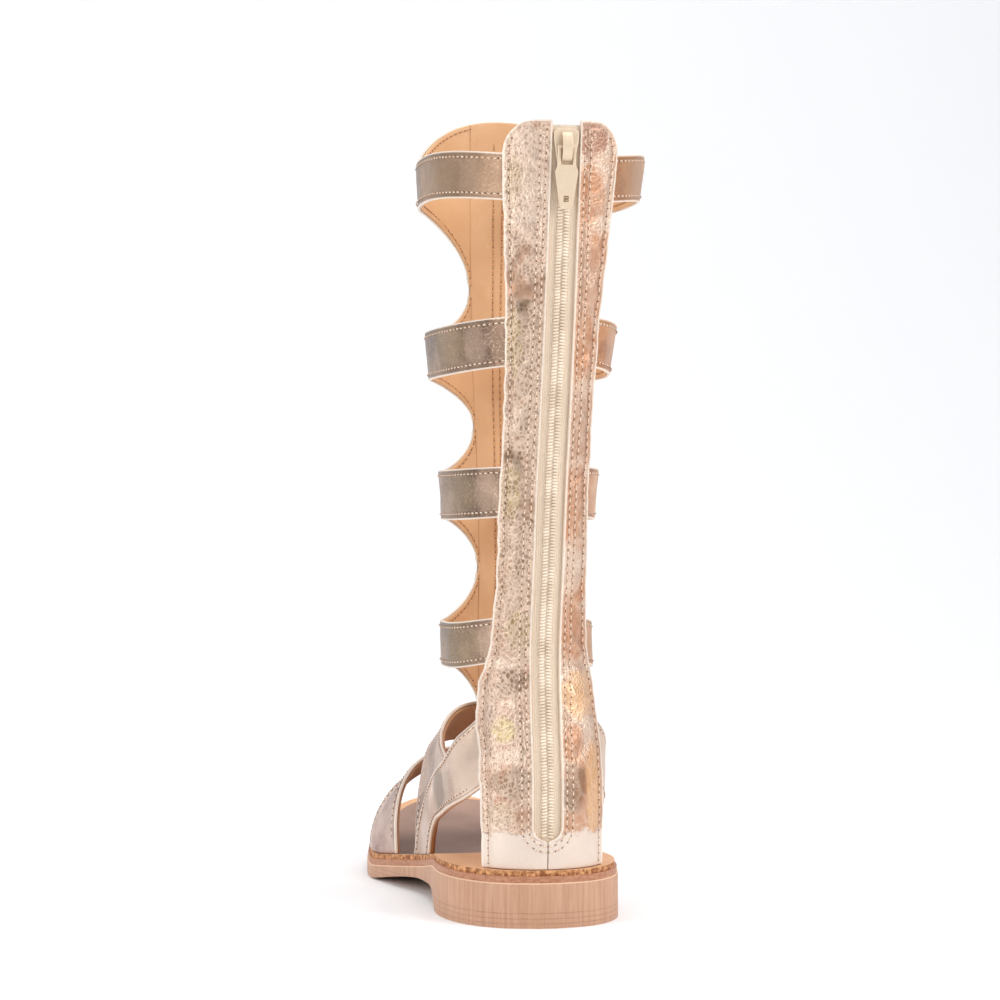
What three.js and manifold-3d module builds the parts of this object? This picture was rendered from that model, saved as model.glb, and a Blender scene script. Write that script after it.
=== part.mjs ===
// Left-foot gladiator sandal, about calf high, with a zip up the back of the leg.
// Millimetres, +Z up. The toe points along -Y, the heel along +Y, the outer side of the foot along +X.
// Lengths along the foot are measured forward from the back of the heel and called "forward".
import * as THREE from 'three';
import Module from 'manifold-3d';
import { mergeVertices } from 'three/addons/utils/BufferGeometryUtils.js';

const wasm = await Module();
wasm.setup();

// Driving dimensions
const SOLE_LENGTH = 238;
const HEEL_BACK = 110.55;
const LEATHER = 2.0;
const GAP = 0.3;
const MIDSOLE_THICKNESS = 2.4;
const INSOLE_THICKNESS = 1.6;
const INSOLE_MARGIN = 1.2;
const BREAST_CURVE = 13;
const HEEL_HEIGHT = 14.7;
const TOE_SPRING = 14;
const SPRING_START = 158;
const SPRING_REACH = 82;
const TOE_LINE_SLANT = 0.5;
const SPRING_BEND = 1.35;
const RING_EXPONENT = 2.2;
const ZIP_OPENING = 9.4;
const ZIP_BOTTOM = 29;
const ZIP_TOP = 267.5;
const STRIP_TOP = 269;
const STRIP_SHOULDER = 259;
const CROWN_PEAK = 284.5;
const CROWN_SPREAD = 74;
const SPINE_FOOT = 66;
const SPINE_ANGLE = 15.5;
const WING_ANGLE = 62;

// Outline of the sole: half widths either side of the foot's line, a row for each station.
const OUTLINE = [
  { forward: 0, outer: 3, inner: 3 },
  { forward: 3, outer: 13.5, inner: 13.5 },
  { forward: 10, outer: 22, inner: 22 },
  { forward: 22, outer: 28.5, inner: 28.5 },
  { forward: 40, outer: 31.5, inner: 31.5 },
  { forward: 65, outer: 30, inner: 29 },
  { forward: 92, outer: 30.5, inner: 26.5 },
  { forward: 118, outer: 36.5, inner: 30 },
  { forward: 142, outer: 40.8, inner: 37 },
  { forward: 168, outer: 37.5, inner: 41 },
  { forward: 190, outer: 31.5, inner: 40.4 },
  { forward: 210, outer: 23.5, inner: 36.5 },
  { forward: 224, outer: 14, inner: 30 },
  { forward: 234, outer: 3.5, inner: 21.5 },
  { forward: 238, outer: -4.5, inner: 13 },
];

// Side profile of the outsole: its underside and the face that the midsole lies on.
const PROFILE = [
  { forward: 0, under: 0, seat: HEEL_HEIGHT },
  { forward: 52, under: 0, seat: HEEL_HEIGHT - 0.3 },
  { forward: 60, under: 0.6, seat: HEEL_HEIGHT - 0.9 },
  { forward: 68, under: 4.4, seat: HEEL_HEIGHT - 1.8 },
  { forward: 78, under: 6.8, seat: 11.4 },
  { forward: 92, under: 5.9, seat: 9.6 },
  { forward: 106, under: 4.6, seat: 8.0 },
  { forward: 118, under: 3.1, seat: 6.7 },
  { forward: 130, under: 1.3, seat: 5.4 },
  { forward: 140, under: 0, seat: 4.5 },
  { forward: 150, under: 0, seat: 4.1 },
  { forward: 165, under: 0, seat: 3.8 },
  { forward: 238, under: 0, seat: 3.8 },
];

// Plan sections of the leg opening: back and front of the ring, its two half widths and sideways lean.
const LEG = [
  { height: 12, back: 3.6, front: 72, outer: 25.0, inner: 25.0, lean: 0 },
  { height: 28, back: 2.4, front: 73, outer: 26.0, inner: 26.0, lean: 0 },
  { height: 50, back: 2.0, front: 76, outer: 26.2, inner: 26.2, lean: 0 },
  { height: 70, back: 5.0, front: 94, outer: 25.6, inner: 25.6, lean: 0 },
  { height: 93, back: 6.5, front: 96, outer: 27.2, inner: 23.4, lean: 0 },
  { height: 120, back: 3.0, front: 96.5, outer: 27.2, inner: 23.0, lean: -0.4 },
  { height: 146, back: 0.0, front: 99, outer: 28.2, inner: 23.4, lean: -0.8 },
  { height: 195, back: -7.0, front: 108, outer: 33.6, inner: 28.2, lean: -1.8 },
  { height: 250, back: -11.5, front: 112, outer: 38.2, inner: 37.0, lean: -3.0 },
  { height: 288, back: -15.5, front: 112, outer: 39.0, inner: 38.6, lean: -3.4 },
];

// Reach of each back strip, measured sideways from the middle of the zip.
const STRIP = [
  { height: 12, outer: 19.6, inner: 20.8 },
  { height: 60, outer: 20.6, inner: 20.4 },
  { height: 80, outer: 20.0, inner: 18.4 },
  { height: 96, outer: 16.8, inner: 15.4 },
  { height: 150, outer: 16.0, inner: 13.6 },
  { height: 200, outer: 16.8, inner: 14.2 },
  { height: 255, outer: 19.6, inner: 18.2 },
  { height: 275, outer: 19.6, inner: 18.2 },
];

// The four leg straps: lower and upper edge at the back strips and at the side of the leg,
// and the height at which the spine is narrowest above the strap.
const STRAPS = [
  { backLow: 90, backHigh: 105, sideLow: 85, sideHigh: 101, waistAbove: 119 },
  { backLow: 138, backHigh: 155, sideLow: 136.5, sideHigh: 154, waistAbove: 171 },
  { backLow: 188.5, backHigh: 205, sideLow: 186, sideHigh: 203, waistAbove: 221 },
  { backLow: 242, backHigh: 257.5, sideLow: 247, sideHigh: 263, waistAbove: CROWN_PEAK },
];

// Cross sections of the foot part of the last.
const LAST = [
  { forward: 8, outer: 15.0, inner: 15.0, crown: 120, exponent: 4.0 },
  { forward: 14, outer: 19.8, inner: 19.8, crown: 120, exponent: 4.0 },
  { forward: 22, outer: 23.6, inner: 23.6, crown: 118, exponent: 4.0 },
  { forward: 34, outer: 26.2, inner: 26.2, crown: 112, exponent: 4.0 },
  { forward: 55, outer: 27.6, inner: 27.2, crown: 96, exponent: 3.6 },
  { forward: 80, outer: 27.4, inner: 26.0, crown: 78, exponent: 3.2 },
  { forward: 98, outer: 28.2, inner: 26.0, crown: 70, exponent: 2.9 },
  { forward: 125, outer: 34.5, inner: 29.5, crown: 56, exponent: 2.4 },
  { forward: 145, outer: 38.8, inner: 35.5, crown: 47, exponent: 2.0 },
  { forward: 165, outer: 36.5, inner: 38.5, crown: 43, exponent: 1.9 },
  { forward: 190, outer: 29.0, inner: 37.5, crown: 41, exponent: 1.9 },
  { forward: 215, outer: 16.0, inner: 29.5, crown: 37, exponent: 1.9 },
];

// Straps over the foot. Each row is a place across the foot, from the outer base (0) over the top (0.5)
// to the inner base (1): how far forward the rear and front edge lie there, and how high.
const TOP = 'top';
const INSTEP_BAND = [
  { across: 0, rear: 84, rearHeight: 0, front: 105, frontHeight: 0 },
  { across: 0.08, rear: 77, rearHeight: 27, front: 105, frontHeight: 25 },
  { across: 0.14, rear: 62, rearHeight: 41, front: 105, frontHeight: 34 },
  { across: 0.2, rear: 50, rearHeight: 51, front: 105, frontHeight: 41 },
  { across: 0.28, rear: 68, rearHeight: 57.5, front: 107, frontHeight: 47 },
  { across: 0.36, rear: 86, rearHeight: 63, front: 112, frontHeight: 52 },
  { across: 0.5, rear: 97, rearHeight: TOP, front: 126, frontHeight: TOP },
  { across: 0.64, rear: 86, rearHeight: 63, front: 111, frontHeight: 52 },
  { across: 0.72, rear: 68, rearHeight: 57.5, front: 106, frontHeight: 47 },
  { across: 0.8, rear: 50, rearHeight: 51, front: 103, frontHeight: 41 },
  { across: 0.86, rear: 62, rearHeight: 41, front: 102, frontHeight: 34 },
  { across: 0.92, rear: 77, rearHeight: 27, front: 101, frontHeight: 25 },
  { across: 1, rear: 82, rearHeight: 0, front: 101, frontHeight: 0 },
];
const TOE_STRAP_REAR = [
  { across: 0, rear: 121, rearHeight: 0, front: 149, frontHeight: 0 },
  { across: 0.5, rear: 138, rearHeight: TOP, front: 160, frontHeight: TOP },
  { across: 1, rear: 158, rearHeight: 0, front: 185, frontHeight: 0 },
];
const TOE_STRAP_FRONT = [
  { across: 0, rear: 150.5, rearHeight: 0, front: 172, frontHeight: 0 },
  { across: 0.5, rear: 161.5, rearHeight: TOP, front: 184, frontHeight: TOP },
  { across: 1, rear: 186.5, rearHeight: 0, front: 205, frontHeight: 0 },
];

// Ankle straps, from under the back strip down to the base of the instep band.
const ANKLE_STRAP = [
  { share: 0, upper: 14, upperHeight: 77, lower: 10, lowerHeight: 49 },
  { share: 0.12, upper: 19, upperHeight: 72, lower: 20, lowerHeight: 43.6 },
  { share: 0.26, upper: 27, upperHeight: 64, lower: 33, lowerHeight: 39 },
  { share: 0.46, upper: 49, upperHeight: 52, lower: 52, lowerHeight: 33.2 },
  { share: 0.66, upper: 76, upperHeight: 43, lower: 66, lowerHeight: 29 },
  { share: 0.84, upper: 96, upperHeight: 28, lower: 77, lowerHeight: 21.5 },
  { share: 1, upper: 103, upperHeight: 8, lower: 83, lowerHeight: 8 },
];

// Zip hardware
const TAPE_HALF = 11;
const TAPE_THICKNESS = 0.8;
const COIL_HALF = 2.1;
const COIL_THICKNESS = 1.6;
const SLIDER_BOTTOM = 254;
const SLIDER_LENGTH = 12;
const SLIDER_WIDTH = 8.4;
const SLIDER_PLATE = 1.3;
const BRIDGE_WIDTH = 2.2;
const BRIDGE_RISE = 3.4;
const BRIDGE_BAR = 1.1;
const BRIDGE_LENGTH = 10;
const BRIDGE_SINK = 0.3;
const PULL_THICKNESS = 1.1;
const PULL_HEIGHT = 2.2;
const PULL_LENGTH = 20.5;

// Smooth value of one column of a table at a place along its key column.
function along(table, key, place, column) {
  const last = table.length - 1;
  let row = 0;
  while (row < last - 1 && place > table[row + 1][key]) row += 1;
  const slope = (index) => {
    const before = table[Math.max(index - 1, 0)];
    const after = table[Math.min(index + 1, last)];
    return (after[column] - before[column]) / (after[key] - before[key]);
  };
  const step = table[row + 1][key] - table[row][key];
  const t = THREE.MathUtils.clamp((place - table[row][key]) / step, 0, 1);
  const start = table[row][column] * (1 + 2 * t) * (1 - t) ** 2;
  const end = table[row + 1][column] * t ** 2 * (3 - 2 * t);
  const leave = slope(row) * step * t * (1 - t) ** 2;
  const arrive = slope(row + 1) * step * t ** 2 * (t - 1);
  return start + end + leave + arrive;
}

const { lerp, degToRad } = THREE.MathUtils;
const sideName = (side) => (side > 0 ? 'outer' : 'inner');
const spread = (from, to, count) => Array.from({ length: count + 1 }, (_, i) => lerp(from, to, i / count));
const signedPower = (value, power) => Math.sign(value) * Math.abs(value) ** power;
const point = (sideways, forward, height) => new THREE.Vector3(sideways, HEEL_BACK - forward, height);

// A thick sheet: grids of corners, each corner an outer and an inner point, closed by walls round its rim.
class Sheet {
  constructor() {
    this.outer = [];
    this.inner = [];
    this.faces = [];
    this.known = new Map();
  }

  corner([outer, inner]) {
    const key = outer.toArray().map((value) => Math.round(value * 500)).join();
    if (!this.known.has(key)) {
      this.known.set(key, this.outer.length);
      this.outer.push(outer);
      this.inner.push(inner);
    }
    return this.known.get(key);
  }

  patch(columns, rows, place, turned = false) {
    const grid = columns.map((u) => rows.map((v) => this.corner(place(u, v))));
    for (let i = 0; i + 1 < columns.length; i += 1) {
      for (let j = 0; j + 1 < rows.length; j += 1) {
        const loop = [grid[i][j], grid[i + 1][j], grid[i + 1][j + 1], grid[i][j + 1]];
        if (turned) loop.reverse();
        this.faces.push([loop[0], loop[1], loop[2]], [loop[0], loop[2], loop[3]]);
      }
    }
    return this;
  }

  geometry() {
    const count = this.outer.length;
    const faces = this.faces.filter(([a, b, c]) => a !== b && b !== c && c !== a);
    const edges = new Set(faces.flatMap(([a, b, c]) => [`${a},${b}`, `${b},${c}`, `${c},${a}`]));
    const index = faces.flatMap(([a, b, c]) => [a, b, c, c + count, b + count, a + count]);
    for (const edge of edges) {
      const [from, to] = edge.split(',').map(Number);
      if (!edges.has(`${to},${from}`)) {
        index.push(to, from, from + count, to, from + count, to + count);
      }
    }
    const shape = new THREE.BufferGeometry().setFromPoints([...this.outer, ...this.inner]);
    shape.setIndex(index);
    return shape;
  }
}

// Joining and cutting closed shapes.
function solid(shape) {
  const bare = shape.clone();
  bare.deleteAttribute('normal');
  bare.deleteAttribute('uv');
  const merged = mergeVertices(bare, 1e-3);
  return new wasm.Manifold(new wasm.Mesh({
    numProp: 3,
    vertProperties: new Float32Array(merged.attributes.position.array),
    triVerts: new Uint32Array(merged.index.array),
  }));
}

function surfaceOf(body) {
  const mesh = body.getMesh();
  const shape = new THREE.BufferGeometry();
  shape.setAttribute('position', new THREE.BufferAttribute(new Float32Array(mesh.vertProperties), 3));
  shape.setIndex([...mesh.triVerts]);
  return shape;
}

const joined = (...shapes) => surfaceOf(shapes.map(solid).reduce((whole, next) => whole.add(next)));

// Sole -------------------------------------------------------------------------------------------

// How far the forefoot has sprung off the floor, along a toe line that slants to the inner side.
function spring(forward, sideways) {
  const past = Math.max(forward + TOE_LINE_SLANT * sideways - SPRING_START, 0) / SPRING_REACH;
  return TOE_SPRING * past ** SPRING_BEND;
}

// The breast of the heel is hollow: towards its sides the underside starts to rise further back.
function soleUnder(forward, sideways) {
  const heel = 1 - THREE.MathUtils.smoothstep(forward, 68, 95);
  const hollow = heel * BREAST_CURVE * (sideways / 30) ** 2;
  return Math.max(along(PROFILE, 'forward', forward + hollow, 'under'), 0) + spring(forward, sideways);
}


function soleSeat(forward, sideways) {
  return along(PROFILE, 'forward', forward, 'seat') + spring(forward, sideways);
}
const insoleTop = (forward, sideways) =>
  soleSeat(forward, sideways) + MIDSOLE_THICKNESS + INSOLE_THICKNESS + 2 * GAP;

const SOLE_STATIONS = [0, 1.2, 3, 6, 10, 16, 22, 31, 40, 52, 56, 60, 64, 68, 73, 78, 85, 92, 99, 106, 112, 118,
  124, 130, 140, 150, 158, 168, 179, 190, 200, 210, 218, 226, 231, 235, 237, 238];

// A layer of the sole between two heights, drawn in from the outline by a margin.
function soleLayer(margin, top, under) {
  const place = (forward, share) => {
    const outer = along(OUTLINE, 'forward', forward, 'outer') - margin;
    const inner = margin - along(OUTLINE, 'forward', forward, 'inner');
    const sideways = lerp(inner, outer, share);
    const shrunk = margin + (forward * (SOLE_LENGTH - 2 * margin)) / SOLE_LENGTH;
    return [
      point(sideways, shrunk, top(forward, sideways)),
      point(sideways, shrunk, under(forward, sideways)),
    ];
  };
  return new Sheet().patch(SOLE_STATIONS, spread(0, 1, 4), place).geometry();
}

const outsole = () => soleLayer(0, soleSeat, soleUnder);
const midsole = () => soleLayer(
  0,
  (forward, sideways) => soleSeat(forward, sideways) + GAP + MIDSOLE_THICKNESS,
  (forward, sideways) => soleSeat(forward, sideways) + GAP,
);
const insole = () => soleLayer(
  INSOLE_MARGIN,
  insoleTop,
  (forward, sideways) => soleSeat(forward, sideways) + MIDSOLE_THICKNESS + 2 * GAP,
);

// Leg of the upper -------------------------------------------------------------------------------

// Point of the leg ring: the angle runs from the zip (0) to the shin (PI), proud is outward of the leather.
function legPoint(side, angle, height, proud) {
  const back = along(LEG, 'height', height, 'back');
  const front = along(LEG, 'height', height, 'front');
  const half = along(LEG, 'height', height, sideName(side)) + proud;
  const depth = (front - back) / 2 + proud;
  const sideways = half * Math.sin(angle) ** (2 / RING_EXPONENT);
  const behind = depth * signedPower(Math.cos(angle), 2 / RING_EXPONENT);
  return point(along(LEG, 'height', height, 'lean') + side * sideways, (front + back) / 2 - behind, height);
}

const angleAcross = (side, width, height) =>
  Math.asin((width / along(LEG, 'height', height, sideName(side))) ** (RING_EXPONENT / 2));
function stripAngle(side, height) {
  return angleAcross(side, along(STRIP, 'height', height, sideName(side)), height);
}

// How far a window has closed, from 0 at the straps to 1 at the narrow waist of the spine.
const WING_START = Math.PI - degToRad(WING_ANGLE);
const WING_TIP = Math.PI - degToRad(SPINE_ANGLE);
function windowClosing(angle) {
  const share = THREE.MathUtils.clamp((angle - WING_START) / (WING_TIP - WING_START), 0, 1);
  return 1 - Math.sqrt(1 - share ** 2);
}

function strapEdge(strap, edge, angle) {
  const share = Math.sin(Math.min(angle, Math.PI / 2)) ** 2;
  return lerp(strap[`back${edge}`], strap[`side${edge}`], share);
}

// Lower and upper edge of a strap at an angle round the leg, with its wings onto the spine.
function strapLow(index, angle) {
  const waist = index === 0 ? SPINE_FOOT : STRAPS[index - 1].waistAbove;
  return lerp(strapEdge(STRAPS[index], 'Low', angle), waist, windowClosing(angle));
}

function strapHigh(index, angle) {
  const edge = strapEdge(STRAPS[index], 'High', angle);
  if (index < STRAPS.length - 1) return lerp(edge, STRAPS[index].waistAbove, windowClosing(angle));
  const fall = Math.min((Math.PI - angle) / degToRad(CROWN_SPREAD), 1);
  return lerp(edge, CROWN_PEAK, Math.cos(fall * (Math.PI / 2)) ** 1.25);
}

const legCorner = (side, angle, height) => [
  legPoint(side, angle, height, 0),
  legPoint(side, angle, height, -LEATHER),
];

const heelSeat = (side, angle) => {
  const rim = legPoint(side, angle, 20, 0);
  return insoleTop(HEEL_BACK - rim.y, rim.x) + GAP;
};

const zipAngle = (side, height) => angleAcross(side, ZIP_OPENING / 2, height);

// Angles of the columns of a strap, closer together where its wings sweep up to the spine.
function strapAngles(index, side) {
  const round = spread(stripAngle(side, STRAPS[index].backLow), WING_START, 7);
  const bend = [0.3, 0.5, 0.68, 0.82, 0.92, 0.98, 1].map((share) => lerp(WING_START, WING_TIP, share));
  return [...round, ...bend, Math.PI - degToRad(SPINE_ANGLE) / 2, Math.PI];
}

function leg() {
  const sheet = new Sheet();
  const strapRows = STRAPS.flatMap(({ backLow, backHigh }) => spread(backLow, backHigh, 3));
  const between = [40, 52, 66, 78, 121, 171, 222, STRIP_SHOULDER];
  const stripRows = [ZIP_BOTTOM, ...between, ...strapRows].sort((a, b) => a - b);
  for (const side of [1, -1]) {
    const turned = side > 0;
    // heel panel below the zip
    const heelPlace = (angle, up) => legCorner(side, angle, lerp(heelSeat(side, angle), ZIP_BOTTOM, up));
    const zipEnd = zipAngle(side, ZIP_BOTTOM);
    sheet.patch(spread(0, zipEnd, 2), [0, 1], heelPlace, turned);
    sheet.patch(spread(zipEnd, stripAngle(side, ZIP_BOTTOM), 4), [0, 1], heelPlace, turned);
    // back strip beside the zip, with a rounded outer top corner
    const stripPlace = (share, height) => {
      const angle = lerp(zipAngle(side, height), stripAngle(side, height), share);
      return legCorner(side, angle, height);
    };
    sheet.patch(spread(0, 1, 4), stripRows, stripPlace, turned);
    sheet.patch(spread(0, 1, 4), [0, 0.5, 1], (share, up) => {
      const round = Math.sqrt(1 - Math.max((share - 0.3) / 0.72, 0) ** 2);
      return stripPlace(share, lerp(STRIP_SHOULDER, STRIP_TOP, up * round));
    }, turned);
    // straps, wings and spine
    STRAPS.forEach((strap, index) => {
      const angles = strapAngles(index, side);
      sheet.patch(angles.map((_, i) => i), spread(0, 1, 3), (column, up) => {
        const atStrip = column === 0;
        const low = atStrip ? strap.backLow : strapLow(index, angles[column]);
        const high = atStrip ? strap.backHigh : strapHigh(index, angles[column]);
        const height = lerp(low, high, up);
        return legCorner(side, atStrip ? stripAngle(side, height) : angles[column], height);
      }, turned);
    });
  }
  return sheet.geometry();
}

// Foot part of the upper -------------------------------------------------------------------------

// Point of the last over the foot: the angle runs from the outer base (0) over the top to the inner (PI).
function footPoint(forward, angle, proud) {
  const outward = Math.cos(angle);
  const half = along(LAST, 'forward', forward, outward > 0 ? 'outer' : 'inner') + proud;
  const power = 2 / along(LAST, 'forward', forward, 'exponent');
  const sideways = half * signedPower(outward, power);
  const base = insoleTop(forward, sideways) + GAP;
  const rise = Math.max(along(LAST, 'forward', forward, 'crown') + proud - base, 1);
  return point(sideways, forward, base + rise * Math.sin(angle) ** power);
}

// Angle at which the outer side of the last reaches a height.
function footAngle(forward, height) {
  if (height === TOP) return Math.PI / 2;
  const half = along(LAST, 'forward', forward, 'outer');
  const base = insoleTop(forward, half) + GAP;
  const share = (height - base) / (along(LAST, 'forward', forward, 'crown') - base);
  const power = along(LAST, 'forward', forward, 'exponent') / 2;
  return Math.asin(THREE.MathUtils.clamp(share, 0, 1) ** power);
}

// The two edges of a strap as angles round the last.
function edgeAngles(rows, forwardName, heightName) {
  return rows.map((row) => {
    const angle = footAngle(row[forwardName], row[heightName]);
    return {
      across: row.across,
      forward: row[forwardName],
      angle: row.across > 0.5 ? Math.PI - angle : angle,
    };
  });
}

// A strap over the foot, on the last, standing proud of it by an amount for each side.
function footStrap(rows, proud, columns, cells) {
  const rear = edgeAngles(rows, 'rear', 'rearHeight');
  const front = edgeAngles(rows, 'front', 'frontHeight');
  const place = (across, share) => {
    const at = (edge, name) => along(edge, 'across', across, name);
    const forward = lerp(at(rear, 'forward'), at(front, 'forward'), share);
    const angle = THREE.MathUtils.clamp(lerp(at(rear, 'angle'), at(front, 'angle'), share), 0, Math.PI);
    return [footPoint(forward, angle, proud), footPoint(forward, angle, proud - LEATHER)];
  };
  return new Sheet().patch(spread(0, 1, columns), spread(0, 1, cells), place).geometry();
}

// A spot on an ankle strap, which leaves the leg under the heel panel and goes on to the foot.
function anklePoint(side, forward, height, proud, leaving) {
  const outer = footAngle(forward, height);
  const onFoot = footPoint(forward, side > 0 ? outer : Math.PI - outer, proud);
  const back = along(LEG, 'height', height, 'back');
  const front = along(LEG, 'height', height, 'front');
  const behind = ((front + back) / 2 - forward) / ((front - back) / 2);
  const angle = Math.acos(THREE.MathUtils.clamp(behind, 0, 1) ** (RING_EXPONENT / 2));
  return legPoint(side, angle, height, proud - LEATHER).lerp(onFoot, leaving);
}

// An ankle strap starts behind the back strip and comes out to lie on the instep band.
function ankleStrap(side, proud) {
  const at = (share, name) => along(ANKLE_STRAP, 'share', share, name);
  const place = (share, up) => {
    const forward = lerp(at(share, 'lower'), at(share, 'upper'), up);
    const height = lerp(at(share, 'lowerHeight'), at(share, 'upperHeight'), up);
    const leaving = THREE.MathUtils.smoothstep(share, 0.14, 0.34);
    return [proud, proud - LEATHER].map((out) => anklePoint(side, forward, height, out, leaving));
  };
  return new Sheet().patch(spread(0, 1, 16), spread(0, 1, 4), place, side > 0).geometry();
}

const upper = () => joined(
  leg(),
  footStrap(INSTEP_BAND, -0.5, 34, 5),
  ankleStrap(1, 0.5),
  ankleStrap(-1, 0.5),
);

// Zip --------------------------------------------------------------------------------------------

// A strip lying along the zip, at a depth from the face of the back strips.
function zipStrip(half, proud, thickness, bottom, top, rows) {
  const place = (width, height) => {
    const side = Math.sign(width) || 1;
    const angle = angleAcross(side, Math.abs(width), height);
    return [legPoint(side, angle, height, proud), legPoint(side, angle, height, proud - thickness)];
  };
  const columns = [-half, -half / 2, 0, half / 2, half];
  return new Sheet().patch(columns, spread(bottom, top, rows), place, true).geometry();
}

const zipTape = () => zipStrip(TAPE_HALF, -LEATHER - GAP, TAPE_THICKNESS, ZIP_BOTTOM - 4, ZIP_TOP, 18);
function zipCoil() {
  const face = -LEATHER + COIL_THICKNESS;
  return zipStrip(COIL_HALF, face, COIL_THICKNESS, ZIP_BOTTOM + 1, ZIP_TOP - 1, 18);
}

// Slider body in its own frame: the hinge line of the pull is at the origin, outward is +Y, up is +Z.
function slider() {
  const plateOut = -PULL_HEIGHT + SLIDER_PLATE;
  const outline = new THREE.Shape([
    new THREE.Vector2(-SLIDER_WIDTH * 0.34, -SLIDER_LENGTH / 2),
    new THREE.Vector2(SLIDER_WIDTH * 0.34, -SLIDER_LENGTH / 2),
    new THREE.Vector2(SLIDER_WIDTH / 2, SLIDER_LENGTH * 0.2),
    new THREE.Vector2(SLIDER_WIDTH / 2, SLIDER_LENGTH * 0.42),
    new THREE.Vector2(SLIDER_WIDTH * 0.36, SLIDER_LENGTH / 2),
    new THREE.Vector2(-SLIDER_WIDTH * 0.36, SLIDER_LENGTH / 2),
    new THREE.Vector2(-SLIDER_WIDTH / 2, SLIDER_LENGTH * 0.42),
    new THREE.Vector2(-SLIDER_WIDTH / 2, SLIDER_LENGTH * 0.2),
  ]);
  const plate = new THREE.ExtrudeGeometry(outline, { depth: SLIDER_PLATE, bevelEnabled: false });
  plate.rotateX(Math.PI / 2).translate(0, plateOut, 0);
  const arch = new THREE.Shape();
  const rise = BRIDGE_RISE;
  const reach = BRIDGE_LENGTH / 2;
  arch.moveTo(-reach, 0);
  arch.absellipse(0, 0, reach, rise, Math.PI, 0, true);
  arch.lineTo(reach - BRIDGE_BAR, 0);
  arch.absellipse(0, 0, reach - BRIDGE_BAR, rise - BRIDGE_BAR, 0, Math.PI, false);
  const bridge = new THREE.ExtrudeGeometry(arch, {
    depth: BRIDGE_WIDTH,
    bevelEnabled: false,
    curveSegments: 12,
  });
  bridge.rotateY(-Math.PI / 2).translate(BRIDGE_WIDTH / 2, plateOut - BRIDGE_SINK, 0);
  return joined(plate, bridge);
}

// Pull tab hanging from its crossbar, which is the hinge line at the origin.
function pull() {
  const outline = new THREE.Shape([
    new THREE.Vector2(-2.9, 0.6),
    new THREE.Vector2(-2.9, -6.4),
    new THREE.Vector2(-3.9, -8.2),
    new THREE.Vector2(-2.3, -PULL_LENGTH + 1),
    new THREE.Vector2(-1.6, -PULL_LENGTH),
    new THREE.Vector2(1.6, -PULL_LENGTH),
    new THREE.Vector2(2.3, -PULL_LENGTH + 1),
    new THREE.Vector2(3.9, -8.2),
    new THREE.Vector2(2.9, -6.4),
    new THREE.Vector2(2.9, 0.6),
  ]);
  const hole = (half, low, high) => new THREE.Path([
    new THREE.Vector2(-half, low),
    new THREE.Vector2(-half, high),
    new THREE.Vector2(half, high),
    new THREE.Vector2(half, low),
  ]);
  outline.holes.push(hole(1.7, -5.8, -0.6), hole(0.9, -PULL_LENGTH + 2.4, -PULL_LENGTH + 4.4));
  const tab = new THREE.ExtrudeGeometry(outline, { depth: PULL_THICKNESS, bevelEnabled: false });
  tab.rotateX(Math.PI / 2).translate(0, PULL_THICKNESS / 2, 0);
  return surfaceOf(solid(tab));
}

// Assembly ---------------------------------------------------------------------------------------

function finish(colour, roughness, metalness) {
  return new THREE.MeshStandardMaterial({ color: colour, roughness, metalness });
}

const sandal = new THREE.Group();
function add(name, shape, material, parent = sandal) {
  shape.computeVertexNormals();
  const mesh = new THREE.Mesh(shape, material);
  mesh.name = name;
  parent.add(mesh);
  return mesh;
}

add('outsole', outsole(), finish(0xc99a78, 0.6, 0));
add('midsole', midsole(), finish(0xb07c5c, 0.6, 0));
add('insole', insole(), finish(0xb08f7e, 0.6, 0));
add('upper', upper(), finish(0xd2ac92, 0.35, 0.8));
add('toe_strap_rear', footStrap(TOE_STRAP_REAR, 0.4, 20, 4), finish(0xa98b80, 0.35, 0.8));
add('toe_strap_front', footStrap(TOE_STRAP_FRONT, 0.4, 20, 4), finish(0xa98b80, 0.35, 0.8));
add('zip_tape', zipTape(), finish(0xdcc9b9, 0.8, 0));
add('zip_coil', zipCoil(), finish(0xd2bda6, 0.5, 0));

const hardware = new THREE.Group();
const hinge = legPoint(1, 0, SLIDER_BOTTOM + SLIDER_LENGTH / 2, PULL_HEIGHT);
hardware.position.copy(hinge);
const backAt = (height) => along(LEG, 'height', height, 'back');
const lean = backAt(SLIDER_BOTTOM) - backAt(SLIDER_BOTTOM + SLIDER_LENGTH);
hardware.rotation.x = -Math.atan(lean / SLIDER_LENGTH);
sandal.add(hardware);
add('zip_slider', slider(), finish(0xd8c4b0, 0.4, 0.3), hardware);
add('zip_pull', pull(), finish(0xd8c4b0, 0.4, 0.3), hardware);

export default sandal;
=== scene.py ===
"""Looks of the left-foot gladiator sandal: crinkled rose-gold foil leather over a tan lining,
a beige zip up the back and a tan sole. Sizes are in millimetres until MM turns them into metres."""
import math

import bmesh
import bpy
from mathutils import Matrix, Vector, noise


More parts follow.
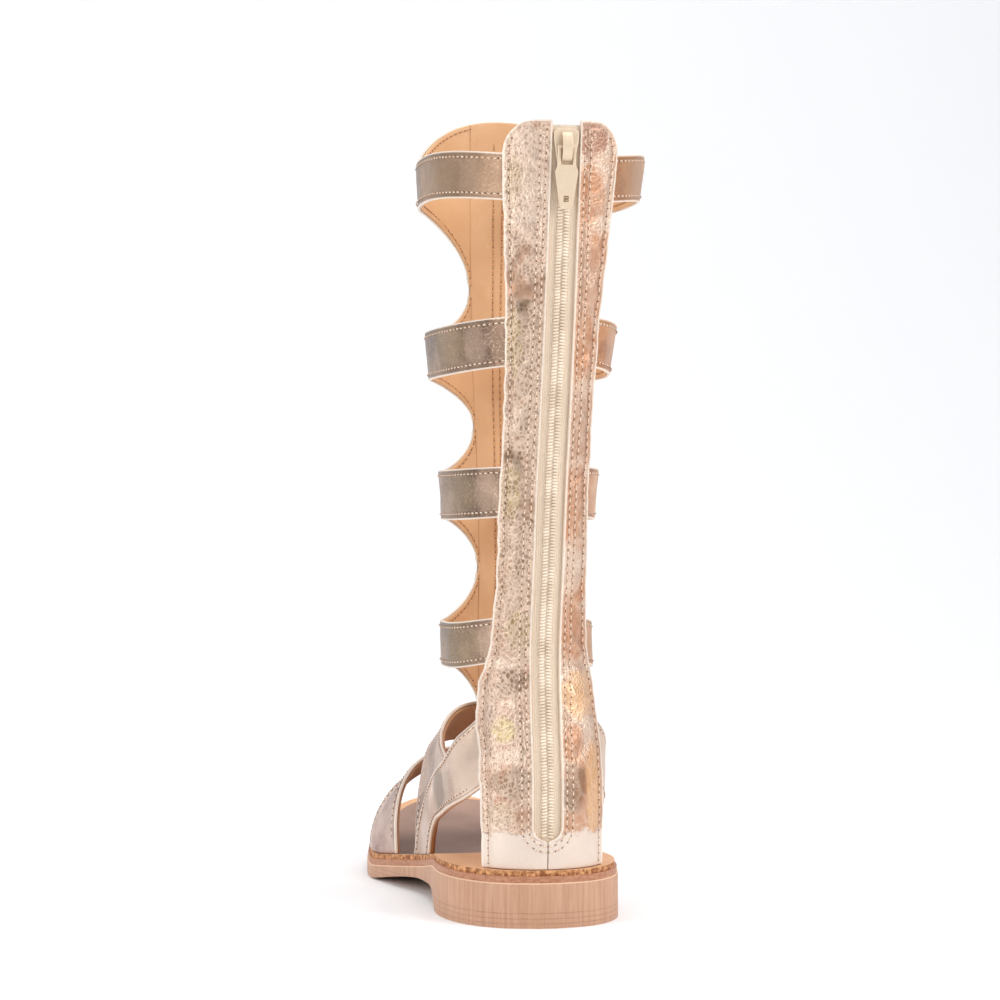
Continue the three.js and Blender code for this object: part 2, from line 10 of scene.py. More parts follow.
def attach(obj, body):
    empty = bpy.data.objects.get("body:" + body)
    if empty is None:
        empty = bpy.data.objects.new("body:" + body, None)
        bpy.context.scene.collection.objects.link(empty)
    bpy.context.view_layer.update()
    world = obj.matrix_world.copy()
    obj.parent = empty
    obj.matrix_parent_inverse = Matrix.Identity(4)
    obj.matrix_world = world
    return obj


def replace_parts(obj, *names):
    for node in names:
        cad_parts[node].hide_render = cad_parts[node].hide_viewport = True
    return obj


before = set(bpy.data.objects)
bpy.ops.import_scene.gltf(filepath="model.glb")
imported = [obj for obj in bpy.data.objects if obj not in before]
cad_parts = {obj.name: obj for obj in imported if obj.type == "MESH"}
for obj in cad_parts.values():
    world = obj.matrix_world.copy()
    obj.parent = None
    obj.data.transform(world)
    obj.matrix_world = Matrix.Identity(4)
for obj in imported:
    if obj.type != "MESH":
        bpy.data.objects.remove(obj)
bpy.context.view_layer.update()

MM = 0.001
SANDAL = "sandal"
PULL = "pull"

# Driving sizes of the last, the sole, the straps and the zip
HEEL_BACK = 110.55
SOLE_LENGTH = 238
HEEL_HEIGHT = 14.7
BREAST_CURVE = 13
TOE_LINE_SLANT = 0.5
TOE_SPRING = 14
SPRING_START = 158
SPRING_REACH = 82
SPRING_BEND = 1.35
MIDSOLE = 2.4
INSOLE = 1.6
INSOLE_MARGIN = 1.2
GAP = 0.3
RING_EXPONENT = 2.2
ZIP_OPENING = 9.4
ZIP_BOTTOM = 29
ZIP_TOP = 267.5
TAPE_SHOWN_HALF = 7
HINGE_HEIGHT = 260
STRIP_FOOT = 19.6
STRIP_TOP = 269
STRIP_SHOULDER = 259
STRIP_FACE = 1.0
INSTEP_PROUD = -0.5
TOE_PROUD = 0.4
ANKLE_PROUD = 1.0
ANKLE_TUCK = 1.9
CROWN_PEAK = 284.5
CROWN_SPREAD = math.radians(74)
SPINE_FOOT = 66
WING_START = math.pi - math.radians(62)
WING_TIP = math.pi - math.radians(15.5)

# Thickness of the foil leather, and depth, thickness and inset of the lining behind it
FOIL = 1.1
LINING_DEPTH = 1.15
LINING_THICKNESS = 0.85
LINING_INSET = 0.35
LINING_INSET_SHARE = 0.012

STITCH_PITCH = 2.6
STITCH_LENGTH = 1.9
STITCH_WIDTH = 0.6
STITCH_INSET = 2.0


def table(columns, *rows):
    """A table with named columns."""
    return [dict(zip(columns.split(), row)) for row in rows]


TOP = "top"
OUTLINE = table(
    "forward outer inner",
    (0, 3, 3), (3, 13.5, 13.5), (10, 22, 22), (22, 28.5, 28.5), (40, 31.5, 31.5), (65, 30, 29),
    (92, 30.5, 26.5), (118, 36.5, 30), (142, 40.8, 37), (168, 37.5, 41), (190, 31.5, 40.4),
    (210, 23.5, 36.5), (224, 14, 30), (234, 3.5, 21.5), (238, -4.5, 13))
PROFILE = table(
    "forward under seat",
    (0, 0, HEEL_HEIGHT), (52, 0, HEEL_HEIGHT - 0.3), (60, 0.6, HEEL_HEIGHT - 0.9),
    (68, 4.4, HEEL_HEIGHT - 1.8), (78, 6.8, 11.4), (92, 5.9, 9.6), (106, 4.6, 8), (118, 3.1, 6.7),
    (130, 1.3, 5.4), (140, 0, 4.5), (150, 0, 4.1), (165, 0, 3.8), (238, 0, 3.8))
LEG = table(
    "height back front outer inner lean",
    (12, 3.6, 72, 25, 25, 0), (28, 2.4, 73, 26, 26, 0), (50, 2, 76, 26.2, 26.2, 0),
    (70, 5, 94, 25.6, 25.6, 0), (93, 6.5, 96, 27.2, 23.4, 0), (120, 3, 96.5, 27.2, 23, -0.4),
    (146, 0, 99, 28.2, 23.4, -0.8), (195, -7, 108, 33.6, 28.2, -1.8),
    (250, -11.5, 112, 38.2, 37, -3), (288, -15.5, 112, 39, 38.6, -3.4))
STRIP = table(
    "height outer inner",
    (12, 19.6, 20.8), (60, 20.6, 20.4), (80, 20, 18.4), (96, 16.8, 15.4), (150, 16, 13.6),
    (200, 16.8, 14.2), (255, 19.6, 18.2), (275, 19.6, 18.2))
STRAPS = table(
    "back_low back_high side_low side_high waist_above",
    (90, 105, 85, 101, 119), (138, 155, 136.5, 154, 171), (188.5, 205, 186, 203, 221),
    (242, 257.5, 247, 263, CROWN_PEAK))
LAST = table(
    "forward outer inner crown exponent",
    (8, 15, 15, 120, 4), (14, 19.8, 19.8, 120, 4), (22, 23.6, 23.6, 118, 4),
    (34, 26.2, 26.2, 112, 4), (55, 27.6, 27.2, 96, 3.6), (80, 27.4, 26, 78, 3.2),
    (98, 28.2, 26, 70, 2.9), (125, 34.5, 29.5, 56, 2.4), (145, 38.8, 35.5, 47, 2),
    (165, 36.5, 38.5, 43, 1.9), (190, 29, 37.5, 41, 1.9), (215, 16, 29.5, 37, 1.9))
BAND = "across rear rear_height front front_height"
INSTEP_BAND = table(
    BAND,
    (0, 84, 0, 105, 0), (0.08, 77, 27, 105, 25), (0.14, 62, 41, 105, 34), (0.2, 50, 51, 105, 41),
    (0.28, 68, 57.5, 107, 47), (0.36, 86, 63, 112, 52), (0.5, 97, TOP, 126, TOP),
    (0.64, 86, 63, 111, 52), (0.72, 68, 57.5, 106, 47), (0.8, 50, 51, 103, 41),
    (0.86, 62, 41, 102, 34), (0.92, 77, 27, 101, 25), (1, 82, 0, 101, 0))
TOE_STRAP_REAR = table(BAND, (0, 121, 0, 149, 0), (0.5, 138, TOP, 160, TOP), (1, 158, 0, 185, 0))
TOE_STRAP_FRONT = table(BAND, (0, 150.5, 0, 172, 0), (0.5, 161.5, TOP, 184, TOP), (1, 186.5, 0, 205, 0))
ANKLE_STRAP = table(
    "share upper upper_height lower lower_height",
    (0, 14, 77, 10, 49), (0.12, 19, 72, 20, 43.6), (0.26, 27, 64, 33, 39),
    (0.46, 49, 52, 52, 33.2), (0.66, 76, 43, 66, 29), (0.84, 96, 28, 77, 21.5), (1, 103, 8, 83, 8))


# --- Shapes of the last ---

def lerp(start, end, share):
    return start + (end - start) * share


def clamp(value, low=0.0, high=1.0):
    return max(low, min(high, value))


def smooth(value, low, high):
    share = clamp((value - low) / (high - low))
    return share * share * (3 - 2 * share)


def signed_power(value, power):
    return math.copysign(abs(value) ** power, value)


def along(rows, key, place, column):
    """Smooth value of one column of a table at a place along its key column."""
    last = len(rows) - 1
    row = 0
    while row < last - 1 and place > rows[row + 1][key]:
        row += 1

    def slope(index):
        before, after = rows[max(index - 1, 0)], rows[min(index + 1, last)]
        return (after[column] - before[column]) / (after[key] - before[key])

    step = rows[row + 1][key] - rows[row][key]
    t = clamp((place - rows[row][key]) / step)
    ends = rows[row][column] * (1 + 2 * t) * (1 - t) ** 2 + rows[row + 1][column] * t ** 2 * (3 - 2 * t)
    return ends + step * (slope(row) * t * (1 - t) ** 2 + slope(row + 1) * t ** 2 * (t - 1))


def leg_size(height, column):
    return along(LEG, "height", height, column)


def last_size(forward, column):
    return along(LAST, "forward", forward, column)


def point(sideways, forward, height):
    return Vector((sideways, HEEL_BACK - forward, height)) * MM


def spring(forward, sideways):
    past = max(forward + TOE_LINE_SLANT * sideways - SPRING_START, 0) / SPRING_REACH
    return TOE_SPRING * past ** SPRING_BEND


def sole_under(forward, sideways):
    hollow = (1 - smooth(forward, 68, 95)) * BREAST_CURVE * (sideways / 30) ** 2
    return max(along(PROFILE, "forward", forward + hollow, "under"), 0) + spring(forward, sideways)


def sole_seat(forward, sideways):
    return along(PROFILE, "forward", forward, "seat") + spring(forward, sideways)


def insole_top(forward, sideways):
    return sole_seat(forward, sideways) + MIDSOLE + INSOLE + 2 * GAP


def side_name(side):
    return "outer" if side > 0 else "inner"


def leg_point(side, angle, height, proud):
    """Point of the leg ring: the angle runs from the zip (0) to the shin (pi)."""
    back, front = leg_size(height, "back"), leg_size(height, "front")
    half = leg_size(height, side_name(side)) + proud
    depth = (front - back) / 2 + proud
    sideways = half * max(math.sin(angle), 0) ** (2 / RING_EXPONENT)
    behind = depth * signed_power(math.cos(angle), 2 / RING_EXPONENT)
    return point(leg_size(height, "lean") + side * sideways, (front + back) / 2 - behind, height)


def strip_width(side, height):
    return along(STRIP, "height", height, side_name(side))


def angle_across(side, width, height):
    return math.asin((width / leg_size(height, side_name(side))) ** (RING_EXPONENT / 2))


def strip_angle(side, height):
    return angle_across(side, strip_width(side, height), height)


def window_closing(angle):
    share = clamp((angle - WING_START) / (WING_TIP - WING_START))
    return 1 - math.sqrt(1 - share ** 2)


def strap_edge(strap, edge, angle):
    share = math.sin(min(angle, math.pi / 2)) ** 2
    return lerp(strap["back_" + edge], strap["side_" + edge], share)


def strap_low(index, angle):
    waist = STRAPS[index - 1]["waist_above"] if index else SPINE_FOOT
    return lerp(strap_edge(STRAPS[index], "low", angle), waist, window_closing(angle))


def strap_high(index, angle):
    edge = strap_edge(STRAPS[index], "high", angle)
    if index < len(STRAPS) - 1:
        return lerp(edge, STRAPS[index]["waist_above"], window_closing(angle))
    fall = min((math.pi - angle) / CROWN_SPREAD, 1)
    return lerp(edge, CROWN_PEAK, math.cos(fall * math.pi / 2) ** 1.25)


def foot_point(forward, angle, proud):
    """Point of the last over the foot: the angle runs from the outer base (0) over the top to the
    inner base (pi)."""
    outward = math.cos(angle)
    half = last_size(forward, side_name(outward)) + proud
    power = 2 / last_size(forward, "exponent")
    sideways = half * signed_power(outward, power)
    base = insole_top(forward, sideways) + GAP
    rise = max(last_size(forward, "crown") + proud - base, 1)
    return point(sideways, forward, base + rise * max(math.sin(angle), 0) ** power)


def foot_angle(forward, height):
    """Angle round the last, on its outer side, at which it reaches a height."""
    if height == TOP:
        return math.pi / 2
    base = insole_top(forward, last_size(forward, "outer")) + GAP
    share = clamp((height - base) / (last_size(forward, "crown") - base))
    return math.asin(share ** (last_size(forward, "exponent") / 2))


# --- Shader maths ---

def operator(operation, reflected=False):
    """A method of Wire that adds a Math node, with its operands swapped in the reflected form."""
    def method(self, other=0.0):
        return self.maths(operation, *((other, self) if reflected else (self, other)))
    return method


class Wire:
    """A number on its way through a material. Arithmetic on it adds Math nodes."""

    def __init__(self, paint, socket):
        self.paint, self.socket = paint, socket

    def maths(self, operation, first, second):
        node = self.paint.add("ShaderNodeMath", {"operation": operation}, {0: first, 1: second})
        return Wire(self.paint, node.outputs[0])

    __add__ = __radd__ = operator("ADD")
    __mul__ = __rmul__ = operator("MULTIPLY")
    __sub__, __rsub__ = operator("SUBTRACT"), operator("SUBTRACT", reflected=True)
    __truediv__, __rtruediv__ = operator("DIVIDE"), operator("DIVIDE", reflected=True)
    __pow__, __rpow__ = operator("POWER"), operator("POWER", reflected=True)
    absolute, sine, maximum = operator("ABSOLUTE"), operator("SINE"), operator("MAXIMUM")

    def step(self, low, high):
        """0 below low, 1 above high, smooth between."""
        node = self.paint.add("ShaderNodeMapRange", {"interpolation_type": "SMOOTHSTEP"}, {
            "Value": self, "From Min": low, "From Max": high})
        return Wire(self.paint, node.outputs[0])


def colour(red, green, blue):
    """A screen colour from 0 to 255 as linear light."""
    return tuple(((c / 255 + 0.055) / 1.055) ** 2.4 for c in (red, green, blue)) + (1.0,)


class Paint:
    """A procedural material on the Principled shader."""

    def __init__(self, name, **constants):
        self.material = bpy.data.materials.new(name)
        self.material.use_nodes = True
        self.tree = self.material.node_tree
        self.shader = self.tree.nodes["Principled BSDF"]
        for socket, value in constants.items():
            self.shader.inputs[socket.replace("_", " ")].default_value = value
        self.place = self.add("ShaderNodeTexCoord").outputs["Object"]

    def add(self, kind, settings=None, inputs=None):
        """A node of a kind: its settings first, then a value or a link for each socket named."""
        node = self.tree.nodes.new(kind)
        for name, value in (settings or {}).items():
            setattr(node, name, value)
        for name, value in (inputs or {}).items():
            socket = value.socket if isinstance(value, Wire) else value
            if isinstance(socket, bpy.types.NodeSocket):
                self.tree.links.new(socket, node.inputs[name])
            else:
                node.inputs[name].default_value = socket
        return node

    def stretched(self, size, stretch):
        """Object coordinates in units of size millimetres, closer together where stretch is over 1."""
        scale = tuple(s / (size * MM) for s in stretch)
        return self.add("ShaderNodeMapping", {}, {"Vector": self.place, "Scale": scale}).outputs[0]

    def axis(self, name):
        node = self.add("ShaderNodeSeparateXYZ", {}, {0: self.place})
        return Wire(self, node.outputs[name]) * (1 / MM)

    def cloud(self, size, detail=3.0, roughness=0.55, stretch=(1, 1, 1)):
        """Noise whose blotches are about size millimetres across."""
        node = self.add("ShaderNodeTexNoise", {}, {
            "Vector": self.stretched(size, stretch), "Scale": 1.0, "Detail": detail, "Roughness": roughness})
        return Wire(self, node.outputs["Fac"])

    def cells(self, size, feature="DISTANCE_TO_EDGE", stretch=(1, 1, 1), wander=0.0):
        """Cells about size millimetres across, their walls bent by up to wander millimetres."""
        place = self.stretched(size, stretch)
        if wander:
            drift = self.add("ShaderNodeTexNoise", {}, {"Vector": place, "Scale": 0.9, "Detail": 2.0})
            place = self.add("ShaderNodeVectorMath", {"operation": "MULTIPLY_ADD"}, {
                0: drift.outputs["Color"], 1: (wander / size,) * 3, 2: place}).outputs[0]
        node = self.add("ShaderNodeTexVoronoi", {"feature": feature}, {"Vector": place, "Scale": 1.0})
        return Wire(self, node.outputs["Distance"])

    def attribute(self, name):
        return Wire(self, self.add("ShaderNodeAttribute", {"attribute_name": name}).outputs["Fac"])

    def mix(self, factor, first, second):
        return self.add("ShaderNodeMix", {"data_type": "RGBA"}, {0: factor, 6: first, 7: second}).outputs[2]

    def feed(self, name, value):
        socket = value.socket if isinstance(value, Wire) else value
        self.tree.links.new(socket, self.shader.inputs[name])

    def finish(self, tint, roughness, height, depth_mm):
        """Feeds the colour, any roughness, and bumps of a depth in millimetres for heights of 0 to 1."""
        self.feed("Base Color", tint)
        if roughness is not None:
            self.feed("Roughness", roughness)
        bump = self.add("ShaderNodeBump", {}, {"Height": height, "Distance": depth_mm * MM})
        self.feed("Normal", bump.outputs[0])
        return self.material


# --- Materials ---

CHAMPAGNE = colour(214, 190, 170)
ROSE = colour(178, 141, 118)
COPPER = colour(184, 128, 92)
PEACH = colour(222, 174, 128)
OLIVE = colour(152, 130, 84)
UMBER = colour(112, 86, 62)
CREAM = colour(240, 226, 210)
TAN = colour(218, 174, 131)
TAN_DEEP = colour(196, 144, 99)
HEEL_PAD = 82
STRAP_LEVELS = (95, 147, 197, 251)

# Patches of painted reflection, highlight and shade on the back strips: sideways, height, half sizes, colour,
# how strong
OUTER_SHEEN_AND_SHADE_PATCHES = (
    (10, 158, 17, 62, colour(146, 116, 90), 0.5), (9, 80, 14, 30, ROSE, 0.35),
    (10, 252, 9, 16, CHAMPAGNE, 0.75), (13.5, 250, 2.2, 9, OLIVE, 0.65), (12.5, 224, 1.0, 10, UMBER, 0.5),
    (9.5, 208, 3.0, 2.4, UMBER, 0.85), (13, 196, 3.2, 11, OLIVE, 0.8), (8, 178, 1.2, 12, UMBER, 0.35),
    (12, 158, 2.8, 2.6, UMBER, 0.8), (12.5, 146, 3.2, 10, OLIVE, 0.8), (9, 126, 1.4, 9, UMBER, 0.4),
    (9, 100, 4.2, 7, OLIVE, 0.7), (11, 82, 6.0, 4.6, UMBER, 0.6), (12, 88.5, 5.0, 1.7, CHAMPAGNE, 0.95),
    (14, 66, 3.6, 4.4, colour(206, 188, 112), 0.6), (12, 57.5, 5.2, 2.5, CHAMPAGNE, 0.95),
    (12, 48, 6.5, 5.6, UMBER, 0.6), (15, 38, 5.0, 4.0, OLIVE, 0.35))
INNER_SHEEN_AND_SHADE_PATCHES = (
    (-10, 263, 8, 6, colour(150, 98, 74), 0.8), (-10, 244, 8, 10, COPPER, 0.8), (-9, 216, 6, 16, ROSE, 0.7),
    (-9, 195, 6, 11, COPPER, 0.8), (-9, 168, 5, 12, ROSE, 0.6), (-9, 146, 5, 10, COPPER, 0.8),
    (-9, 122, 5, 10, CHAMPAGNE, 0.5), (-10, 98, 6, 10, COPPER, 0.85), (-12, 78, 7, 8, PEACH, 0.8),
    (-9, 62, 5, 6, COPPER, 0.8), (-9, 46, 5, 9, UMBER, 0.6), (-17, 46, 3, 16, PEACH, 0.9))


def crinkled_foil(name, patches, base, net_depth):
    """Rose-gold foil leather of the back strips: a fine net of creases with painted highlights on their
    ridges, and listed patches of painted reflection, highlight and shade.
    """
    paint = Paint(name, Metallic=0.7, Roughness=0.36)
    height, across = paint.axis("Z"), paint.axis("X")
    broad = paint.cloud(16, 3, 0.6)
    patch = paint.cloud(5, 3, 0.6)
    fine = paint.cloud(1.3, 3, 0.7)
    net = paint.cells(1.35, stretch=(1.0, 1.0, 0.85), wander=0.7)
    wide_net = paint.cells(5.5, stretch=(1.0, 1.0, 0.6), wander=3.0)
    streak = paint.cloud(2.2, 3, 0.6, (1, 1, 0.22))
    shine = paint.mix(broad.step(0.36, 0.64), base, CHAMPAGNE)
    shine = paint.mix(patch.step(0.48, 0.7) * 0.4, shine, COPPER)
    # Patches of painted reflection, highlight and shade
    for sideways, level, half_width, half_height, tint, strength in patches:
        reach = ((across - sideways) / half_width) ** 2.0 + ((height - level) / half_height) ** 2.0
        spot = 1 - (reach + (patch - 0.5) * 2.2).step(0.55, 1.35)
        shine = paint.mix(spot * strength, shine, tint)
    shine = paint.mix(streak.step(0.56, 0.72) * net_depth, shine, UMBER)
    ridge = (1 - net.step(0.0, 0.3)) * broad.step(0.28, 0.5)
    fold = 1 - wide_net.step(0.0, 0.16)
    low_spot = fine.step(0.5, 0.62) * broad.step(0.25, 0.45)
    # Painted shade in spots of the fine crinkle, and painted highlights on the ridges of the net and on the
    # wide folds
    shine = paint.mix(low_spot * net_depth, shine, UMBER)
    shine = paint.mix(ridge * net_depth, shine, colour(234, 210, 190))
    shine = paint.mix(fold * 0.2, shine, colour(234, 210, 190))
    foot = 1 - (height + (patch - 0.5) * 9).step(30.5, 32.5)
    shine = paint.mix(foot * 0.9, shine, colour(224, 208, 194))
    edge = 1 - paint.attribute("edge").step(0.35, 0.75)
    shine = paint.mix(edge * 0.75, shine, CREAM)
    paint.feed("Metallic", 0.72 - 0.5 * edge - 0.35 * foot)
    height = (ridge * 0.35 + fold * 0.3 + fine * 0.6 + patch * 0.8) * (1 - foot * 0.85)
    return paint.finish(shine, 0.3 + 0.16 * patch + 0.12 * fine, height, 0.3)


def strap_foil(name, tints, patches=(), inner_reflection_tints=None):
    """Smoother foil leather of the straps, in broad soft bands of colour and listed patches of painted
    reflection, highlight and shade.
    The inner tints, deep to light, a painted warm reflection, take over towards the inner side of the foot."""
    paint = Paint(name, Roughness=0.34, Metallic=0.72)
    blotch = paint.cloud(20, 2, 0.5, (1, 1, 1.4))
    patch = paint.cloud(7, 3, 0.6)
    grain = paint.cloud(1.0, 3, 0.65, (1, 1, 1.6))
    net = paint.cells(1.6, wander=1.4)

    def bands(deep, middle, light):
        shade = paint.mix(blotch.step(0.36, 0.52), deep, middle)
        shade = paint.mix(blotch.step(0.52, 0.7), shade, light)
        return paint.mix(patch.step(0.5, 0.75) * 0.3, shade, deep)

    shine = bands(*tints)
    # Painted warm reflection towards the inner side of the foot
    if inner_reflection_tints:
        shine = paint.mix(1 - paint.axis("X").step(-22, 12), shine, bands(*inner_reflection_tints))
    # Painted glints on the crinkle net
    shine = paint.mix((1 - net.step(0.0, 0.2)) * grain.step(0.45, 0.65) * 0.35, shine, colour(240, 220, 196))
    # Patches of painted reflection, highlight and shade
    for along_foot, level, half_length, half_height, tint, strength in patches:
        reach = (((HEEL_BACK - along_foot) - paint.axis("Y")) / half_length) ** 2.0
        reach = reach + ((paint.axis("Z") - level) / half_height) ** 2.0
        shine = paint.mix((1 - (reach + (patch - 0.5) * 1.6).step(0.4, 1.5)) * strength, shine, tint)
    edge = 1 - paint.attribute("edge").step(0.3, 0.65)
    shine = paint.mix(edge * 0.8, shine, CREAM)
    rim = 1 - (paint.attribute("edge") - 1.1).absolute().step(0.1, 0.4)
    shine = paint.mix(rim * 0.4, shine, UMBER)
    paint.feed("Metallic", 0.72 - 0.5 * edge)
    return paint.finish(shine, 0.28 + 0.14 * blotch + 0.12 * grain, grain * 0.5 + patch * 0.9, 0.24)


def tan_lining(name):
    """Smooth tan lining, with painted shade inside the instep."""
    paint = Paint(name, Roughness=0.58, Specular_IOR_Level=0.35)
    pores = paint.cells(0.7, "F1")
    blotch = paint.cloud(22, 3, 0.5)
    rub = paint.cloud(4, 4, 0.6)
    tint = paint.mix(blotch.step(0.3, 0.7) * 0.45, TAN, TAN_DEEP)
    tint = paint.mix(rub.step(0.55, 0.8) * 0.25, tint, colour(234, 198, 162))
    # Painted shade inside the instep
    instep = (1 - paint.axis("Z").step(50, 78)) * (1 - paint.axis("Y").step(52, 82))
    tint = paint.mix(instep * 0.75, tint, colour(150, 94, 60))
    return paint.finish(tint, 0.5 + 0.2 * rub, pores * 0.5 + rub * 0.5, 0.12)


def sole_rubber(name):
    """Tan sole edge: fine upright streaks, and scored lines round its lower half."""
    paint = Paint(name, Roughness=0.52, Specular_IOR_Level=0.4)
    height = paint.axis("Z")
    streak = paint.cloud(1.3, 4, 0.7, (1, 1, 0.05))
    broad = paint.cloud(14, 3, 0.6, (1, 1, 0.5))
    speck = paint.cloud(0.8, 2, 0.6)
    tint = paint.mix(streak.step(0.35, 0.68) * 0.6, colour(197, 154, 126), colour(168, 123, 94))
    tint = paint.mix(broad.step(0.4, 0.7) * 0.35, tint, colour(184, 140, 110))
    tint = paint.mix(speck.step(0.6, 0.78) * 0.35, tint, colour(215, 180, 153))
    dots = (paint.axis("X") * 5.5 + paint.axis("Y") * 5.5).sine() * 0.5 + 0.5
    lines = sum(1 - (height - level).absolute().step(0.05, 0.3) for level in (1.5, 3.2, 5.0))
    line = lines * (0.5 + dots * 0.5)
    tint = paint.mix(line * 0.3, tint, colour(146, 98, 68))
    return paint.finish(tint, 0.45 + 0.2 * streak, streak * 0.5 + speck * 0.3 - line * 0.6, 0.18)


def welt_leather(name):
    paint = Paint(name, Roughness=0.5)
    grain = paint.cloud(2.0, 4, 0.65, (1, 1, 2.4))
    tint = paint.mix(grain.step(0.3, 0.7), colour(156, 100, 70), colour(188, 134, 100))
    return paint.finish(tint, None, grain, 0.15)


def footbed(name):
    """Rose-taupe ahead of a straight edge, a tan heel pad behind it, and a tan margin."""
    paint = Paint(name, Roughness=0.55, Specular_IOR_Level=0.35)
    back = paint.axis("Y")
    grain = paint.cloud(1.4, 4, 0.65)
    blotch = paint.cloud(20, 3, 0.5)
    scuff = paint.cloud(3, 5, 0.75, (0.4, 1, 1))
    # Rose-taupe in front of the heel pad's straight edge
    taupe_footbed = paint.mix(blotch.step(0.3, 0.7) * 0.6, colour(163, 129, 111), colour(140, 108, 92))
    taupe_footbed = paint.mix(scuff.step(0.6, 0.75) * 0.35, taupe_footbed, colour(180, 151, 135))
    pad = paint.mix(blotch.step(0.3, 0.7) * 0.5, colour(226, 176, 134), colour(204, 150, 106))
    heel = back.step(HEEL_BACK - HEEL_PAD - 0.4, HEEL_BACK - HEEL_PAD + 0.4)
    margin = 1 - paint.attribute("edge").step(3.6, 4.2)
    seam = 1 - (back - (HEEL_BACK - HEEL_PAD)).absolute().step(0.2, 0.6)
    tint = paint.mix(heel.maximum(margin), taupe_footbed, pad)
    tint = paint.mix(seam * 0.6, tint, colour(120, 84, 62))
    return paint.finish(tint, 0.48 + 0.2 * grain, grain * 0.6 + scuff * 0.3 - seam * 0.8, 0.16)


def raw_edge(name):
    """Rough orange-brown edge of the insole between the upper and the welt."""
    paint = Paint(name, Roughness=0.75)
    fray = paint.cloud(1.8, 4, 0.7)
    tint = paint.mix(fray.step(0.35, 0.6), colour(226, 166, 112), colour(140, 82, 40))
    return paint.finish(tint, None, fray, 0.5)


def woven_tape(name):
    paint = Paint(name, Roughness=0.85, Sheen_Weight=0.2)
    rows = (paint.axis("Z") * 8.5).sine()
    ribs = (paint.axis("X") * 9.0 + rows * 0.8).sine()
    fuzz = paint.cloud(0.8, 3, 0.6)
    weave = rows * ribs * 0.5 + 0.5
    tint = paint.mix(weave * 0.5 + fuzz * 0.3, colour(222, 198, 170), colour(250, 234, 214))
    return paint.finish(tint, None, weave, 0.18)


def coil_plastic(name):
    paint = Paint(name, Roughness=0.42, Specular_IOR_Level=0.5)
    tone = paint.cloud(6, 2, 0.5)
    tint = paint.mix(tone.step(0.3, 0.7), colour(222, 202, 178), colour(242, 226, 206))
    return paint.finish(tint, None, tone, 0.05)


def painted_zip_metal(name):
    paint = Paint(name, Roughness=0.38, Metallic=0.25, Coat_Weight=0.3)
    wear = paint.cloud(2.4, 4, 0.7)
    tint = paint.mix(wear.step(0.5, 0.75) * 0.5, colour(218, 196, 168), colour(238, 222, 200))
    return paint.finish(tint, 0.32 + 0.15 * wear, wear, 0.04)


def plain(name, tint, roughness):
    return Paint(name, Roughness=roughness, Base_Color=tint).material


def thread(name, light, deep):
    paint = Paint(name, Roughness=0.7, Sheen_Weight=0.2)
    twist = (paint.axis("Z") * 6 + paint.axis("X") * 5 + paint.axis("Y") * 5).sine() * 0.5 + 0.5
    return paint.finish(paint.mix(twist, deep, light), None, twist, 0.05)


FOIL_OUTER = crinkled_foil("foil_strip_outer", OUTER_SHEEN_AND_SHADE_PATCHES, ROSE, 0.5)
FOIL_INNER = crinkled_foil("foil_strip_inner", INNER_SHEEN_AND_SHADE_PATCHES, colour(192, 141, 109), 0.12)
# Patches of painted sheen on the leg straps: olive ones, pale ones, and a broad one over the top strap
strap_sheen_patches = [
    *((38 - level / 20, level, 14, 9, colour(150, 130, 90), 0.32) for level in STRAP_LEVELS),
    *((20 - level / 20, level, 5, 9, colour(206, 178, 156), 0.3) for level in STRAP_LEVELS),
    (24, 252, 34, 13, colour(184, 150, 120), 0.5)]
FOIL_STRAP = strap_foil(
    "foil_strap", (colour(112, 88, 73), colour(136, 110, 91), colour(164, 136, 116)), strap_sheen_patches,
    (colour(178, 118, 80), colour(210, 148, 104), colour(232, 180, 136)))
FOIL_BAND = strap_foil("foil_band", (colour(150, 123, 109), colour(187, 160, 144), colour(215, 192, 177)))
# The ankle strap's patches are painted highlights and shade
FOIL_ANKLE = strap_foil("foil_ankle", (colour(182, 154, 136), colour(214, 188, 170), colour(238, 218, 200)), (
    (26, 58, 12, 14, CHAMPAGNE, 0.8), (56, 42, 12, 8, UMBER, 0.75), (66, 33, 9, 6, ROSE, 0.6),
    (84, 22, 10, 8, colour(214, 194, 182), 0.6)))
FOIL_TOE = strap_foil("foil_toe", (colour(140, 112, 102), colour(178, 150, 140), colour(206, 182, 170)))
LINING = tan_lining("lining_tan")
SOLE = sole_rubber("sole_tan")
WELT = welt_leather("welt_rose_brown")
FOOTBED = footbed("footbed_taupe")
# A painted highlight: the pale line where the top edge of the outsole catches light
SOLE_EDGE_HIGHLIGHT = plain("sole_rim_painted_highlight", colour(228, 190, 158), 0.6)
RAW = raw_edge("insole_raw_edge")
TAPE = woven_tape("zip_tape_weave")
COIL = coil_plastic("zip_coil_beige")
METAL = painted_zip_metal("zip_metal_beige")
THREAD = thread("thread_cream", colour(244, 226, 206), colour(206, 168, 138))
THREAD_TAN = thread("thread_tan", colour(232, 176, 124), colour(176, 116, 70))
# Painted shade: dark beads stand for the shade inside the needle holes
NEEDLE_HOLE_SHADE = plain("needle_hole_shade", colour(128, 92, 66), 0.9)


# --- Building pieces ---

def finish_object(name, bm, smooth_shading=True):
    """Turns a finished bmesh into an object."""
    bmesh.ops.recalc_face_normals(bm, faces=bm.faces)
    mesh = bpy.data.meshes.new(name)
    bm.to_mesh(mesh)
    bm.free()
    mesh.polygons.foreach_set("use_smooth", [smooth_shading] * len(mesh.polygons))
    piece = bpy.data.objects.new(name, mesh)
    bpy.context.scene.collection.objects.link(piece)
    return piece


